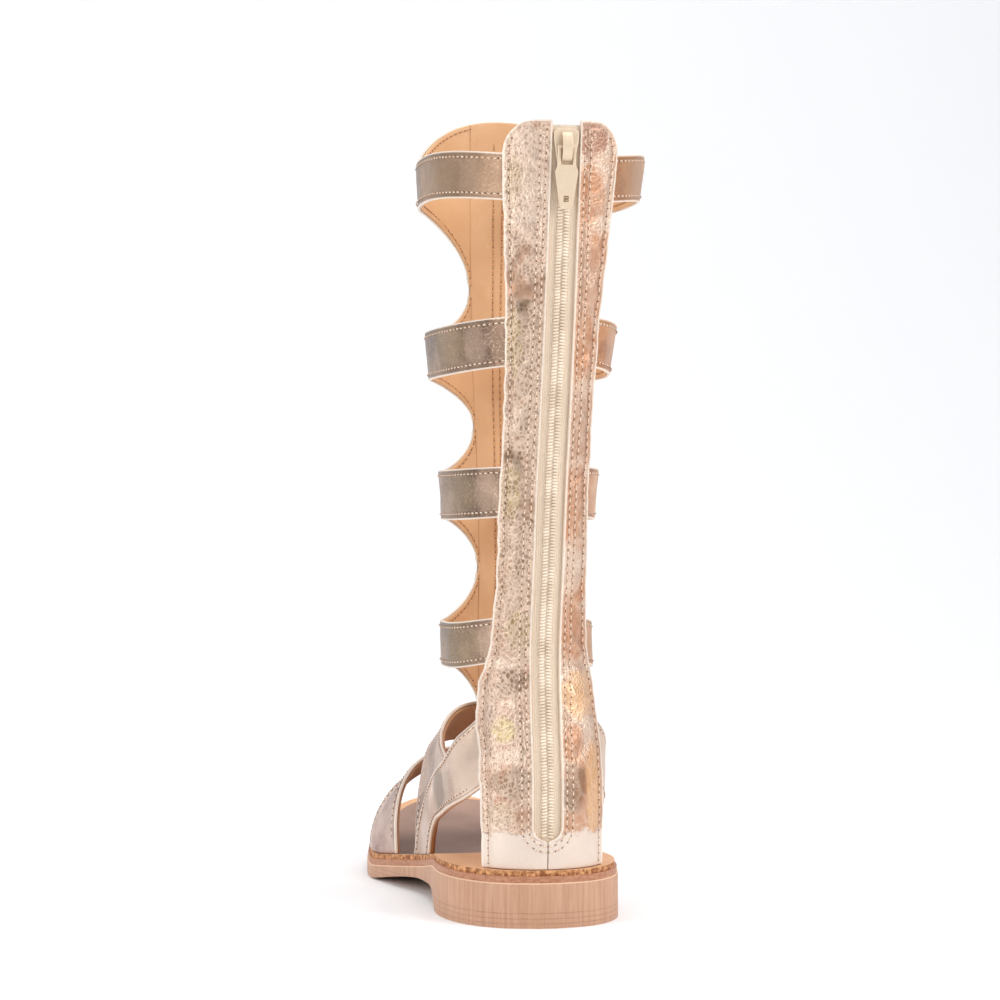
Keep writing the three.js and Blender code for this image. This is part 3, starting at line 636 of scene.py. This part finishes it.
def finish_piece(name, bm, slot, *materials, body=SANDAL, rounding=0, segments=3, smooth_shading=True):
    """A piece that rides on its body, with its cut edges rounded by so many millimetres."""
    piece = finish_object(name, bm, smooth_shading)
    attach(piece, body)
    if rounding:
        bevel = piece.modifiers.new("rounded_edges", "BEVEL")
        bevel.width = rounding * MM
        bevel.segments = segments
        bevel.limit_method = "ANGLE"
        bevel.angle_limit = math.radians(40)
    for material in materials:
        piece.data.materials.append(material)
    return piece


def thicken(bm):
    """Gives open faces a second skin joined on at their rims, and returns its corners."""
    made = bmesh.ops.extrude_face_region(bm, geom=bm.faces[:])["geom"]
    return [item for item in made if isinstance(item, bmesh.types.BMVert)]


def sheet(name, columns, rows, place, slot, *materials, rounding=0.3, segments=2):
    """A sheet: place(across, up) gives its outside, its inside and how far the cut edge is."""
    bm = bmesh.new()
    edge = bm.verts.layers.float.new("edge")
    bmesh.ops.create_grid(bm, x_segments=columns, y_segments=rows, size=0.5)
    backs = set(thicken(bm))
    for vert in bm.verts:
        outside, inside, distance = place(vert.co.x + 0.5, vert.co.y + 0.5)
        vert.co = inside if vert in backs else outside
        vert[edge] = distance
    return finish_piece(name, bm, slot, *materials, rounding=rounding, segments=segments)


def wrinkle(spot, size_mm, seed):
    """Soft noise from -1 to 1 at a place, in blotches of that size."""
    return noise.noise(spot / (size_mm * MM) + Vector((seed, seed * 1.7, -seed)))


def ripple(spot, edge, *waves):
    """Waves of (depth, size, seed) that die out towards the cut edge."""
    return sum(depth * wrinkle(spot, size, seed) for depth, size, seed in waves) * smooth(edge, 0.1, 2.5)


def facing(place):
    """The direction outward where place(out) is a spot at a depth."""
    return (place(5) - place(0)).normalized()


# Creases of the back strips, at a width across from the zip and a height
CREASE = "width height length tilt breadth depth"
CREASES = {
    1: table(
        CREASE,
        (12, 91, 12, 8, 1.4, -1), (10, 88, 15, -12, 1.5, 0.8), (13, 62, 7, 78, 3, -0.9),
        (8, 78, 11, 35, 1.8, 0.7), (15, 74, 9, -30, 1.8, -0.7), (9, 108, 7, -60, 1.5, -0.8),
        (12, 117, 8, 20, 1.6, 0.7), (10, 127, 7, -15, 1.4, -0.8), (12, 137, 8, 35, 1.7, 0.7),
        (10, 147, 8, -35, 1.5, -0.7), (11, 157, 6, 70, 2, -1), (9, 166, 7, 5, 1.5, 0.7),
        (12, 176, 7, -45, 1.5, -0.8), (11, 186, 8, 15, 1.6, 0.7), (10, 196, 7, 50, 1.5, -0.7),
        (11, 207, 8, 75, 2.4, -1.1), (14, 212, 6, -20, 1.5, 0.7), (10, 222, 8, -10, 1.5, -0.7),
        (12, 233, 8, 30, 1.6, 0.6), (13, 246, 9, -12, 1.6, -0.6), (10, 256, 7, 12, 1.4, 0.5)),
    -1: table(
        CREASE,
        (10, 78, 10, -25, 1.7, 0.7), (13, 88, 12, 12, 1.5, -0.8), (9, 96, 8, -40, 1.5, 0.6),
        (11, 112, 7, 60, 1.7, -0.7), (9, 130, 7, -10, 1.5, 0.6), (10, 152, 8, 35, 1.7, -0.8),
        (9, 172, 7, -55, 1.6, 0.6), (10, 192, 7, 20, 1.6, -0.6), (11, 214, 8, -30, 1.7, 0.6),
        (12, 238, 8, 15, 1.6, -0.5), (13, 60, 8, 40, 2.2, -0.7))}


def crease_depth(side, width, height):
    """Sum of the listed troughs and ridges at a place on a back strip, in millimetres."""
    total = 0.0
    for crease in CREASES[side]:
        turn = math.radians(crease["tilt"])
        dx, dz = width - crease["width"], height - crease["height"]
        run = dx * math.cos(turn) + dz * math.sin(turn)
        off = dz * math.cos(turn) - dx * math.sin(turn) + 0.6 * math.sin(run * 0.5 + crease["height"])
        fade = (off / crease["breadth"]) ** 2 + (run / crease["length"]) ** 2 * 2
        total += crease["depth"] * math.exp(-fade)
    return total


# --- Back strips ---

def strip_edge_width(side, height):
    """Width of a strip from the zip line, with the rounded corner at its top."""
    past = clamp((height - STRIP_SHOULDER) / (STRIP_TOP - STRIP_SHOULDER))
    sway = 0.5 * noise.noise(Vector((height / 11, side * 3, 0)))
    sway += 0.3 * noise.noise(Vector((height / 4, side, 2)))
    calm = smooth(height, 24, 36) * (1 - smooth(height, 240, 255))
    return strip_width(side, height) - (1 - math.sqrt(1 - past ** 2)) * 9 + sway * calm


def strip_inner_width(height):
    """Half the zip opening: round at its foot, closed below it."""
    if height <= ZIP_BOTTOM:
        return 0.15
    rise = clamp((height - ZIP_BOTTOM) / (ZIP_OPENING / 2))
    return max(ZIP_OPENING / 2 * math.sqrt(1 - (1 - rise) ** 2), 0.15)


def strip_surface(side, width, height, proud):
    """A place on a back strip at a width from the zip line."""
    return leg_point(side, angle_across(side, max(width, 0.02), height), height, proud)


def strip_margin(side, width, height):
    """Distance of a place on a back strip from its nearest cut edge, in millimetres."""
    inner = width - strip_inner_width(height) if height > ZIP_BOTTOM - 1 else 9
    return min(strip_edge_width(side, height) - width, inner, STRIP_TOP - height)


def strip_lift(side, width, height):
    """How far the creased face of a back strip stands out from the leg."""
    margin = strip_margin(side, width, height)
    calm = smooth(height, 26, 42) * smooth(margin, 0.2, 2.6)
    spot = strip_surface(side, width, height, 0)
    lift = 0.45 * wrinkle(spot, 10, 3) + 0.22 * wrinkle(spot, 4.5, 9) + 0.12 * wrinkle(spot, 2, 5)
    lift *= 1 - 0.65 * smooth(height, 228, 246)
    lift = clamp((lift * (1 if side > 0 else 0.6) + crease_depth(side, width, height)) * calm, -1.4, 1.0)
    rim = strip_edge_width(side, height) - width
    belly = 0.9 * math.exp(-((height - 70) / 13) ** 2) * smooth(width, 6, 14) * smooth(rim, 0, 5)
    seam = -0.35 * math.exp(-((margin - 2.0) / 0.55) ** 2)
    return STRIP_FACE + lift + belly + seam


def back_strip(side, material):
    def place(across, up):
        height = lerp(STRIP_FOOT, STRIP_TOP, up)
        width = lerp(strip_inner_width(height), strip_edge_width(side, height), across)
        lift = strip_lift(side, width, height)
        spots = [strip_surface(side, width, height, out) for out in (lift, min(lift - 1.2, -0.4))]
        return *spots, strip_margin(side, width, height)

    return sheet(f"back_strip_{side_name(side)}", 36, 420, place, "upper_leather", material, rounding=0.35)


def strip_lining(side):
    """The tan lining behind a back strip, stopping short of the zip."""
    def place(across, up):
        height = lerp(STRIP_FOOT, STRIP_TOP - 0.5, up)
        inner = strip_inner_width(height) + (1.6 if height > ZIP_BOTTOM else 0)
        width = lerp(inner, strip_edge_width(side, height) - 0.4, across)
        inside = -2.0 + 0.15 * wrinkle(strip_surface(side, width, height, -1.7), 10, 12)
        return *(strip_surface(side, width, height, depth) for depth in (-0.5, inside)), 5.0

    sheet(f"strip_lining_{side_name(side)}", 10, 120, place, "upper_leather", LINING)


# --- Leg straps ---

def strap_panel(name, index, side, proud, thickness, inset, material):
    """One wrap of the cage, from under the back strip to the spine."""
    start = strip_angle(side, STRAPS[index]["back_low"]) * 0.8

    def place(across, up):
        angle = lerp(start, WING_TIP, across)
        low, high = strap_low(index, angle) + inset, strap_high(index, angle) - inset
        height = lerp(low, high, up)
        edge = min(height - low, high - height)
        spot = leg_point(side, angle, height, proud)
        lift = ripple(spot, edge, (0.35, 16, index + 2), (0.13, 5, index + 7))
        tucked = -0.9 * (1 - smooth(angle, start, strip_angle(side, height) * 1.06))
        out = proud + lift + tucked
        return *(leg_point(side, angle, height, depth) for depth in (out, out - thickness)), edge

    sheet(f"{name}_{side_name(side)}_{index + 1}", 110, 16, place, "upper_leather", material)


def spine(name, proud, thickness, inset, material):
    """The front spine over the shin, from the waist of the lowest strap up to the crown."""
    def place(across, up):
        turn = (across - 0.5) * 2
        angle = math.pi - abs(turn) * (math.pi - WING_TIP)
        peak = strap_high(len(STRAPS) - 1, angle)
        height = lerp(SPINE_FOOT + inset, peak - inset, up)
        edge = min(3 + (1 - abs(turn)) * 10, peak - height)
        side = math.copysign(1, turn)
        out = proud + 0.25 * wrinkle(leg_point(side, angle, height, proud), 14, 4)
        return *(leg_point(side, angle, height, depth) for depth in (out, out - thickness)), edge

    sheet(name, 24, 200, place, "upper_leather", material)


# --- Bands over the foot ---

def band_edges(rows):
    """The rear and front edges of a band as places along and angles round the last."""
    edges = {}
    for name in ("rear", "front"):
        edges[name] = []
        for row in rows:
            angle = foot_angle(row[name], row[name + "_height"])
            angle = math.pi - angle if row["across"] > 0.5 else angle
            edges[name].append({"across": row["across"], "forward": row[name], "angle": angle})
    return edges


def band_place(edges, across, up):
    """Forward place and angle of a spot on a band; up runs from its rear edge to its front edge."""
    forward, angle = (lerp(*(along(edges[name], "across", across, column) for name in ("rear", "front")), up)
                      for column in ("forward", "angle"))
    return forward, clamp(angle, 0, math.pi)


def foot_band(name, rows, proud, material, columns, cells, seed, slot="toe_leather"):
    """A band over the foot with its lining."""
    edges = band_edges(rows)

    def build(part, base, thickness, inset, look):
        def place(across, up):
            rims = [foot_point(*band_place(edges, across, rim), base) for rim in (0, 1)]
            edge = min(up, 1 - up) * (rims[1] - rims[0]).length / MM
            spot = band_place(edges, across, lerp(inset, 1 - inset, up))
            out = base + ripple(foot_point(*spot, base), edge, (0.45, 15, seed), (0.16, 5, seed + 4))
            return *(foot_point(*spot, depth) for depth in (out, out - thickness)), edge

        return sheet(part, columns, cells, place, slot, look)

    build(name + "_lining", proud - LINING_DEPTH, LINING_THICKNESS, LINING_INSET_SHARE, LINING)
    return build(name, proud, FOIL, 0.0, material)


def ankle_place(side, share, up, out):
    """A spot on an ankle strap, which leaves from the leg under the heel panel and goes on to the foot."""
    forward, height = (
        lerp(along(ANKLE_STRAP, "share", share, low), along(ANKLE_STRAP, "share", share, high), up)
        for low, high in (("lower", "upper"), ("lower_height", "upper_height")))
    outer = foot_angle(forward, height)
    on_foot = foot_point(forward, outer if side > 0 else math.pi - outer, out)
    leaving = smooth(share, 0.14, 0.34)
    if leaving >= 1:
        return on_foot
    back, front = leg_size(height, "back"), leg_size(height, "front")
    behind = clamp(((front + back) / 2 - forward) / ((front - back) / 2), 0, 1)
    on_leg = leg_point(side, math.acos(behind ** (RING_EXPONENT / 2)), height, out - ANKLE_TUCK)
    return on_leg.lerp(on_foot, leaving)


def ankle_strap(side):
    """A strap from under the heel panel, over the instep band and down to the sole, with its lining."""
    def build(part, base, thickness, inset, look):
        def place(share, up):
            rims = [ankle_place(side, share, rim, 0) for rim in (0, 1)]
            edge = min(up, 1 - up) * (rims[1] - rims[0]).length / MM
            level = lerp(inset, 1 - inset, up)
            out = base + ripple(ankle_place(side, share, level, 0), edge, (0.4, 14, 6), (0.16, 5, 8))
            return *(ankle_place(side, share, level, depth) for depth in (out, out - thickness)), edge

        sheet(part, 110, 20, place, "upper_leather", look, rounding=0)

    name = f"ankle_strap_{side_name(side)}"
    build(name, ANKLE_PROUD, FOIL, 0.0, FOIL_ANKLE)
    build(name + "_lining", ANKLE_PROUD - LINING_DEPTH, LINING_THICKNESS, LINING_INSET_SHARE, LINING)


# --- Stitches ---

def bead(bm, matrix, *half_sizes_mm):
    """A small ball, squeezed to its half sizes."""
    size = Matrix.Diagonal((*(half * MM for half in half_sizes_mm), 1))
    bmesh.ops.create_icosphere(bm, subdivisions=1, radius=1.0, matrix=matrix @ size)


def stitch_row(bm, path, length_mm, first):
    """Stitches laid end to end along a path of (place, outward) samples."""
    travelled = 0.0
    due = STITCH_PITCH * first
    for (here, out), (there, _) in zip(path, path[1:]):
        step = (there - here).length / MM
        while due <= travelled + step and step > 1e-6:
            centre = here.lerp(there, (due - travelled) / step)
            run = (there - here).normalized()
            across = out.cross(run).normalized()
            turn = Matrix((run, across, run.cross(across))).transposed().to_4x4()
            bead(bm, Matrix.Translation(centre) @ turn, length_mm / 2, STITCH_WIDTH / 2, STITCH_WIDTH * 0.42)
            due += STITCH_PITCH
        travelled += step


def stitched(name, rows, material):
    """Rows of stitches, with a dark bead at the end of each stitch, painted shade of the needle hole."""
    for part, look, length_mm, first in (
            (name, material, STITCH_LENGTH, 0.5), (name + "_holes", NEEDLE_HOLE_SHADE, STITCH_WIDTH, 0.0)):
        bm = bmesh.new()
        for row in rows:
            stitch_row(bm, row, length_mm, first)
        finish_piece(part, bm, "upper_leather", look)


def strip_path(side, spots):
    """Samples along a back strip at (width from the zip line, height) spots."""
    return [(strip_surface(side, width, height, strip_lift(side, width, height) + 0.08),
             facing(lambda out: strip_surface(side, width, height, out))) for width, height in spots]


def leg_path(side, spots, proud):
    """Samples at (angle, height) spots on the leg."""
    return [(leg_point(side, angle, height, proud), facing(lambda out: leg_point(side, angle, height, out)))
            for angle, height in spots]


def strap_paths(proud, start_share):
    """Samples along both edges of every leg strap."""
    paths = []
    for index, strap in enumerate(STRAPS):
        for side in (1, -1):
            start = strip_angle(side, strap["back_low"]) * start_share
            angles = [lerp(start, WING_TIP, step / 120) for step in range(121)]
            for edge, inset in ((strap_low, STITCH_INSET), (strap_high, -STITCH_INSET)):
                paths.append(leg_path(side, [(angle, edge(index, angle) + inset) for angle in angles], proud))
    return paths


def foot_path(place, low=0.03, high=0.97, samples=90):
    """Samples along a band; place(across, out) gives a spot at a depth."""
    shares = [lerp(low, high, step / samples) for step in range(samples + 1)]
    return [(place(across, 0.1), facing(lambda out: place(across, out))) for across in shares]


# --- Sole ---

def sole_slab(name, margin, top, under, slot, *materials, rounding=0.5):
    """A slab with the outline of the sole: top and under give heights at a place on it."""
    def place(run, across):
        forward = lerp(margin, SOLE_LENGTH - margin, (1 - math.cos(run * math.pi)) / 2)
        outer, inner = (along(OUTLINE, "forward", forward, side) - margin for side in ("outer", "inner"))
        sideways = lerp(-inner, outer, across)
        distance = min(outer - sideways, sideways + inner, forward - margin, SOLE_LENGTH - margin - forward)
        return *(point(sideways, forward, height(forward, sideways)) for height in (top, under)), distance

    return sheet(name, 150, 26, place, slot, *materials, rounding=rounding, segments=3)


def above_seat(rise):
    """Heights at a rise above the top of the outsole."""
    return lambda forward, sideways: sole_seat(forward, sideways) + rise


# --- Metal and coil of the zip ---

def hardware_place():
    """Where the hinge line of the pull lies, and how the back leans there."""
    below, above = (leg_size(HINGE_HEIGHT + rise, "back") for rise in (-6, 6))
    turn = Matrix.Rotation(-math.atan((below - above) / 12), 4, "X")
    return Matrix.Translation(leg_point(1, 0, HINGE_HEIGHT, 2.2)) @ turn


def metal_piece(name, bm, body, rounding):
    bmesh.ops.transform(bm, matrix=hardware_place(), verts=bm.verts)
    return finish_piece(name, bm, "zip_metal", METAL, body=body, rounding=rounding, smooth_shading=False)


PULL_LEVELS = table(
    "level half window",
    (0.6, 3.1, 1.302), (-0.6, 3.1, 2.0), (-5.8, 3.1, 2.0), (-6.6, 3.3, 1.386), (-8.2, 3.9, 1.638),
    (-11.5, 3.45, 1.449), (-16.1, 2.75, 0.9), (-18.1, 2.45, 0.9), (-19.6, 2.2, 0.924), (-20.5, 1.6, 0.672))
PULL_WINDOWS = (1, 6)
PULL_THICKNESS = 1.1


def pull_tab():
    """The tab: a frame round the crossbar window, wide shoulders, and a small square hole low down."""
    bm = bmesh.new()
    rows = len(PULL_LEVELS) - 1
    for vert in bmesh.ops.create_grid(bm, x_segments=3, y_segments=rows, size=0.5)["verts"]:
        row = PULL_LEVELS[round((0.5 - vert.co.y) * rows)]
        column = round((vert.co.x + 0.5) * 3)
        across = (-row["half"], -row["window"], row["window"], row["half"])[column]
        vert.co = Vector((across, -PULL_THICKNESS / 2, row["level"])) * MM
    holes = []
    for face in bm.faces:
        middle = face.calc_center_median() / MM
        if abs(middle.x) < 0.2 and any(
                PULL_LEVELS[row + 1]["level"] < middle.z < PULL_LEVELS[row]["level"] for row in PULL_WINDOWS):
            holes.append(face)
    bmesh.ops.delete(bm, geom=holes, context="FACES")
    bmesh.ops.translate(bm, verts=thicken(bm), vec=Vector((0, PULL_THICKNESS * MM, 0)))
    return metal_piece("zip_pull_tab", bm, PULL, 0.28)


SLIDER_HALF_OUTLINE = ((2.86, -6), (3.6, -1), (4.2, 2.4), (4.2, 5.04), (3.0, 6))
SLIDER_BACK, SLIDER_FACE = -2.2, -0.9
BRIDGE_WIDTH = 3.4


def slider_body():
    """The slider: a waisted plate, and an arched bridge that the tab hangs on."""
    bm = bmesh.new()
    outline = [*SLIDER_HALF_OUTLINE, *((-x, z) for x, z in reversed(SLIDER_HALF_OUTLINE))]
    bm.faces.new([bm.verts.new((x * MM, SLIDER_BACK * MM, z * MM)) for x, z in outline])
    bmesh.ops.translate(bm, verts=thicken(bm), vec=Vector((0, (SLIDER_FACE - SLIDER_BACK) * MM, 0)))
    arch = bmesh.ops.create_cone(bm, cap_ends=False, segments=32, radius1=1, radius2=1, depth=1)["verts"]
    bmesh.ops.delete(bm, geom=[vert for vert in arch if vert.co.y < -1e-3], context="VERTS")
    arch = [vert for vert in arch if vert.is_valid]
    faces = list({face for vert in arch for face in vert.link_faces})
    made = bmesh.ops.extrude_face_region(bm, geom=faces)["geom"]
    inner = {item for item in made if isinstance(item, bmesh.types.BMVert)}
    for vert in arch + list(inner):
        reach, rise = (3.9, 2.3) if vert in inner else (5.0, 3.4)
        run, out, width = vert.co
        vert.co = Vector((width * BRIDGE_WIDTH, out * rise - 1.2, run * reach)) * MM
    return metal_piece("zip_slider_body", bm, SANDAL, 0.3)


COIL_PITCH = 1.05
COIL_FOOT = ZIP_BOTTOM + 1.5


def zip_teeth():
    """The coil: two rows of wire loops, one half a pitch above the other."""
    bm = bmesh.new()
    for step in range(int((ZIP_TOP - 4 - COIL_FOOT) / COIL_PITCH)):
        for side in (1, -1):
            height = COIL_FOOT + step * COIL_PITCH + (COIL_PITCH / 2 if side > 0 else 0)
            spot = leg_point(1, 0, height, 0.05) + Vector((side * 1.1, 0, 0)) * MM
            bead(bm, Matrix.Translation(spot) @ Matrix.Rotation(side * 0.16, 4, "Y"), 1.25, 0.6, 0.47)
    return finish_piece("zip_coil_teeth", bm, "zip_coil", COIL)


def zip_band(name, half, proud, low, high, slot, material):
    """A band half a millimetre thick lying in the opening of the zip."""
    def place(across, up):
        height = lerp(low, high, up)
        width = (across - 0.5) * 2 * half
        side = math.copysign(1, width)
        return *(strip_surface(side, abs(width), height, depth) for depth in (proud, proud - 0.5)), 5.0

    return sheet(name, 24, 160, place, slot, material, rounding=0)


# --- The sandal ---

strip_outer = back_strip(1, FOIL_OUTER)
back_strip(-1, FOIL_INNER)
strip_lining(1)
strip_lining(-1)
skins = (("", 0.0, FOIL, 0.0, FOIL_STRAP), ("_lining", -LINING_DEPTH, LINING_THICKNESS, LINING_INSET, LINING))
for strap in range(len(STRAPS)):
    for flank in (1, -1):
        for suffix, *skin in skins:
            strap_panel("strap" + suffix, strap, flank, *skin)
for suffix, *skin in skins:
    spine("spine" + suffix, *skin)
foot_band("instep_band", INSTEP_BAND, INSTEP_PROUD, FOIL_BAND, 150, 26, 11, "upper_leather")
ankle_strap(1)
ankle_strap(-1)
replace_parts(strip_outer, "upper")
for part, rows, seed in (("toe_strap_rear", TOE_STRAP_REAR, 21), ("toe_strap_front", TOE_STRAP_FRONT, 31)):
    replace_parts(foot_band(part + "_leather", rows, TOE_PROUD, FOIL_TOE, 110, 22, seed), part)

strip_rows = []
bend_middle = ZIP_BOTTOM + ZIP_OPENING / 2
for flank in (1, -1):
    outer_edge = [(strip_edge_width(flank, 21 + step * 1.5) - 1.7, 21 + step * 1.5) for step in range(163)]
    strip_rows.append(strip_path(flank, outer_edge))
    for reach in (ZIP_OPENING / 2 + 1.7, ZIP_OPENING / 2 + 3.7):
        turns = [turn * math.pi / 40 for turn in range(21)]
        bend = [(reach * math.sin(turn), bend_middle - reach * math.cos(turn)) for turn in turns]
        bend += [(reach, bend_middle + step * 1.5) for step in range(1, 156)]
        strip_rows.append(strip_path(flank, bend))
stitched("strip_stitches", strip_rows, THREAD)
stitched("strap_stitches", strap_paths(0.22, 0.98), THREAD)
stitched("lining_stitches", strap_paths(-2.15, 1.1), THREAD_TAN)
stitched("spine_stitches", [
    leg_path(side, [(angle, 70 + step * 2) for step in range(104)], depth)
    for side in (1, -1) for angle, depth in ((math.pi - 0.035, -2.15), (math.pi - 0.1, 0.2))], THREAD_TAN)

band_rows = []
for rows, proud in ((INSTEP_BAND, INSTEP_PROUD), (TOE_STRAP_REAR, TOE_PROUD), (TOE_STRAP_FRONT, TOE_PROUD)):
    rims = band_edges(rows)
    for up in (0.09, 0.91):
        band_rows.append(foot_path(
            lambda across, out, up=up: foot_point(*band_place(rims, across, up), proud + out)))
for flank in (1, -1):
    for up in (0.09, 0.91):
        band_rows.append(foot_path(
            lambda share, out, up=up: ankle_place(flank, share, up, ANKLE_PROUD + out), 0.16, 0.95))
stitched("band_stitches", band_rows, THREAD)

tape = zip_band("zip_tape_woven", TAPE_SHOWN_HALF, -0.45, ZIP_BOTTOM - 4, ZIP_TOP, "zip_tape", TAPE)
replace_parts(tape, "zip_tape")
zip_band("zip_coil_core", 1.8, -0.2, ZIP_BOTTOM + 1, ZIP_TOP - 4, "zip_coil", COIL)
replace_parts(zip_teeth(), "zip_coil")
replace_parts(slider_body(), "zip_slider")
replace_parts(pull_tab(), "zip_pull")

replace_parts(sole_slab("sole", 0.0, above_seat(0.15), sole_under, "outsole", SOLE, rounding=0.6), "outsole")
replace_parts(sole_slab("welt", 0.45, above_seat(MIDSOLE + 0.35), above_seat(0.3), "welt", WELT), "midsole")
# A thin pale band round the top of the outsole, a painted highlight of its edge
sole_slab("sole_rim", 0.12, above_seat(0.5), above_seat(-0.3), "welt", SOLE_EDGE_HIGHLIGHT, rounding=0)
taupe_footbed = sole_slab("footbed", INSOLE_MARGIN, insole_top, above_seat(MIDSOLE + 0.3), "insole", FOOTBED, RAW)
for polygon in taupe_footbed.data.polygons:
    polygon.material_index = 0 if polygon.normal.z > 0.5 else 1
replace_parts(taupe_footbed, "insole")


# --- Studio ---

FLOOR_HALF_WIDTH = 6
FLOOR_BEHIND = 6.0
FLOOR_FLAT = 7.0
SWEEP_RADIUS = 0.9
FLOOR_RUN = 9.4


def studio():
    """A pale floor that sweeps up into a pale backdrop beyond the toe."""
    bm = bmesh.new()
    sweep = SWEEP_RADIUS * math.pi / 2
    for vert in bmesh.ops.create_grid(bm, x_segments=1, y_segments=120, size=1)["verts"]:
        run = (1 - vert.co.y) / 2 * FLOOR_RUN
        bent = clamp(run - FLOOR_FLAT, 0, sweep) / SWEEP_RADIUS
        y = FLOOR_BEHIND - min(run, FLOOR_FLAT) - SWEEP_RADIUS * math.sin(bent)
        z = SWEEP_RADIUS * (1 - math.cos(bent)) + max(run - FLOOR_FLAT - sweep, 0)
        vert.co = Vector((vert.co.x * FLOOR_HALF_WIDTH, y, z))
    floor = finish_object("studio_floor", bm)
    paint = Paint("studio_paper", Roughness=0.8, Specular_IOR_Level=0.1, Base_Color=(0.9, 0.9, 0.9, 1))
    floor.data.materials.append(paint.material)


def aimed(name, data, place, aim):
    """A light or camera at a place, looking at another."""
    thing = bpy.data.objects.new(name, data)
    thing.location = place
    thing.rotation_euler = (Vector(aim) - Vector(place)).to_track_quat("-Z", "Y").to_euler()
    bpy.context.scene.collection.objects.link(thing)
    return thing


def softbox(name, place, aim, size, watts):
    light = bpy.data.lights.new(name, "AREA")
    light.shape = "RECTANGLE"
    light.size, light.size_y = size
    light.energy = watts
    aimed(name, light, place, aim)


studio()
softbox("key_light", (-1.0, 1.0, 0.9), (0, 0, 0.14), (0.9, 1.2), 15)
softbox("side_light", (1.3, 0.5, 0.6), (0, 0, 0.14), (0.7, 1.2), 9)
softbox("top_light", (0.0, -0.2, 1.9), (0, 0, 0), (2.0, 2.0), 24)

world = bpy.data.worlds.new("studio_air")
world.use_nodes = True
air = world.node_tree.nodes["Background"].inputs
air["Color"].default_value = (0.93, 0.95, 1.0, 1)
air["Strength"].default_value = 0.55
bpy.context.scene.world = world
bpy.context.scene.view_settings.view_transform = "Standard"

lens = bpy.data.cameras.new("camera")
lens.lens = 103
lens.sensor_width = 36
lens.clip_start = 0.05
bpy.context.scene.camera = aimed("camera", lens, (0.1913, 1.0489, 0.1435), (0.008, 0.064, 0.1435))
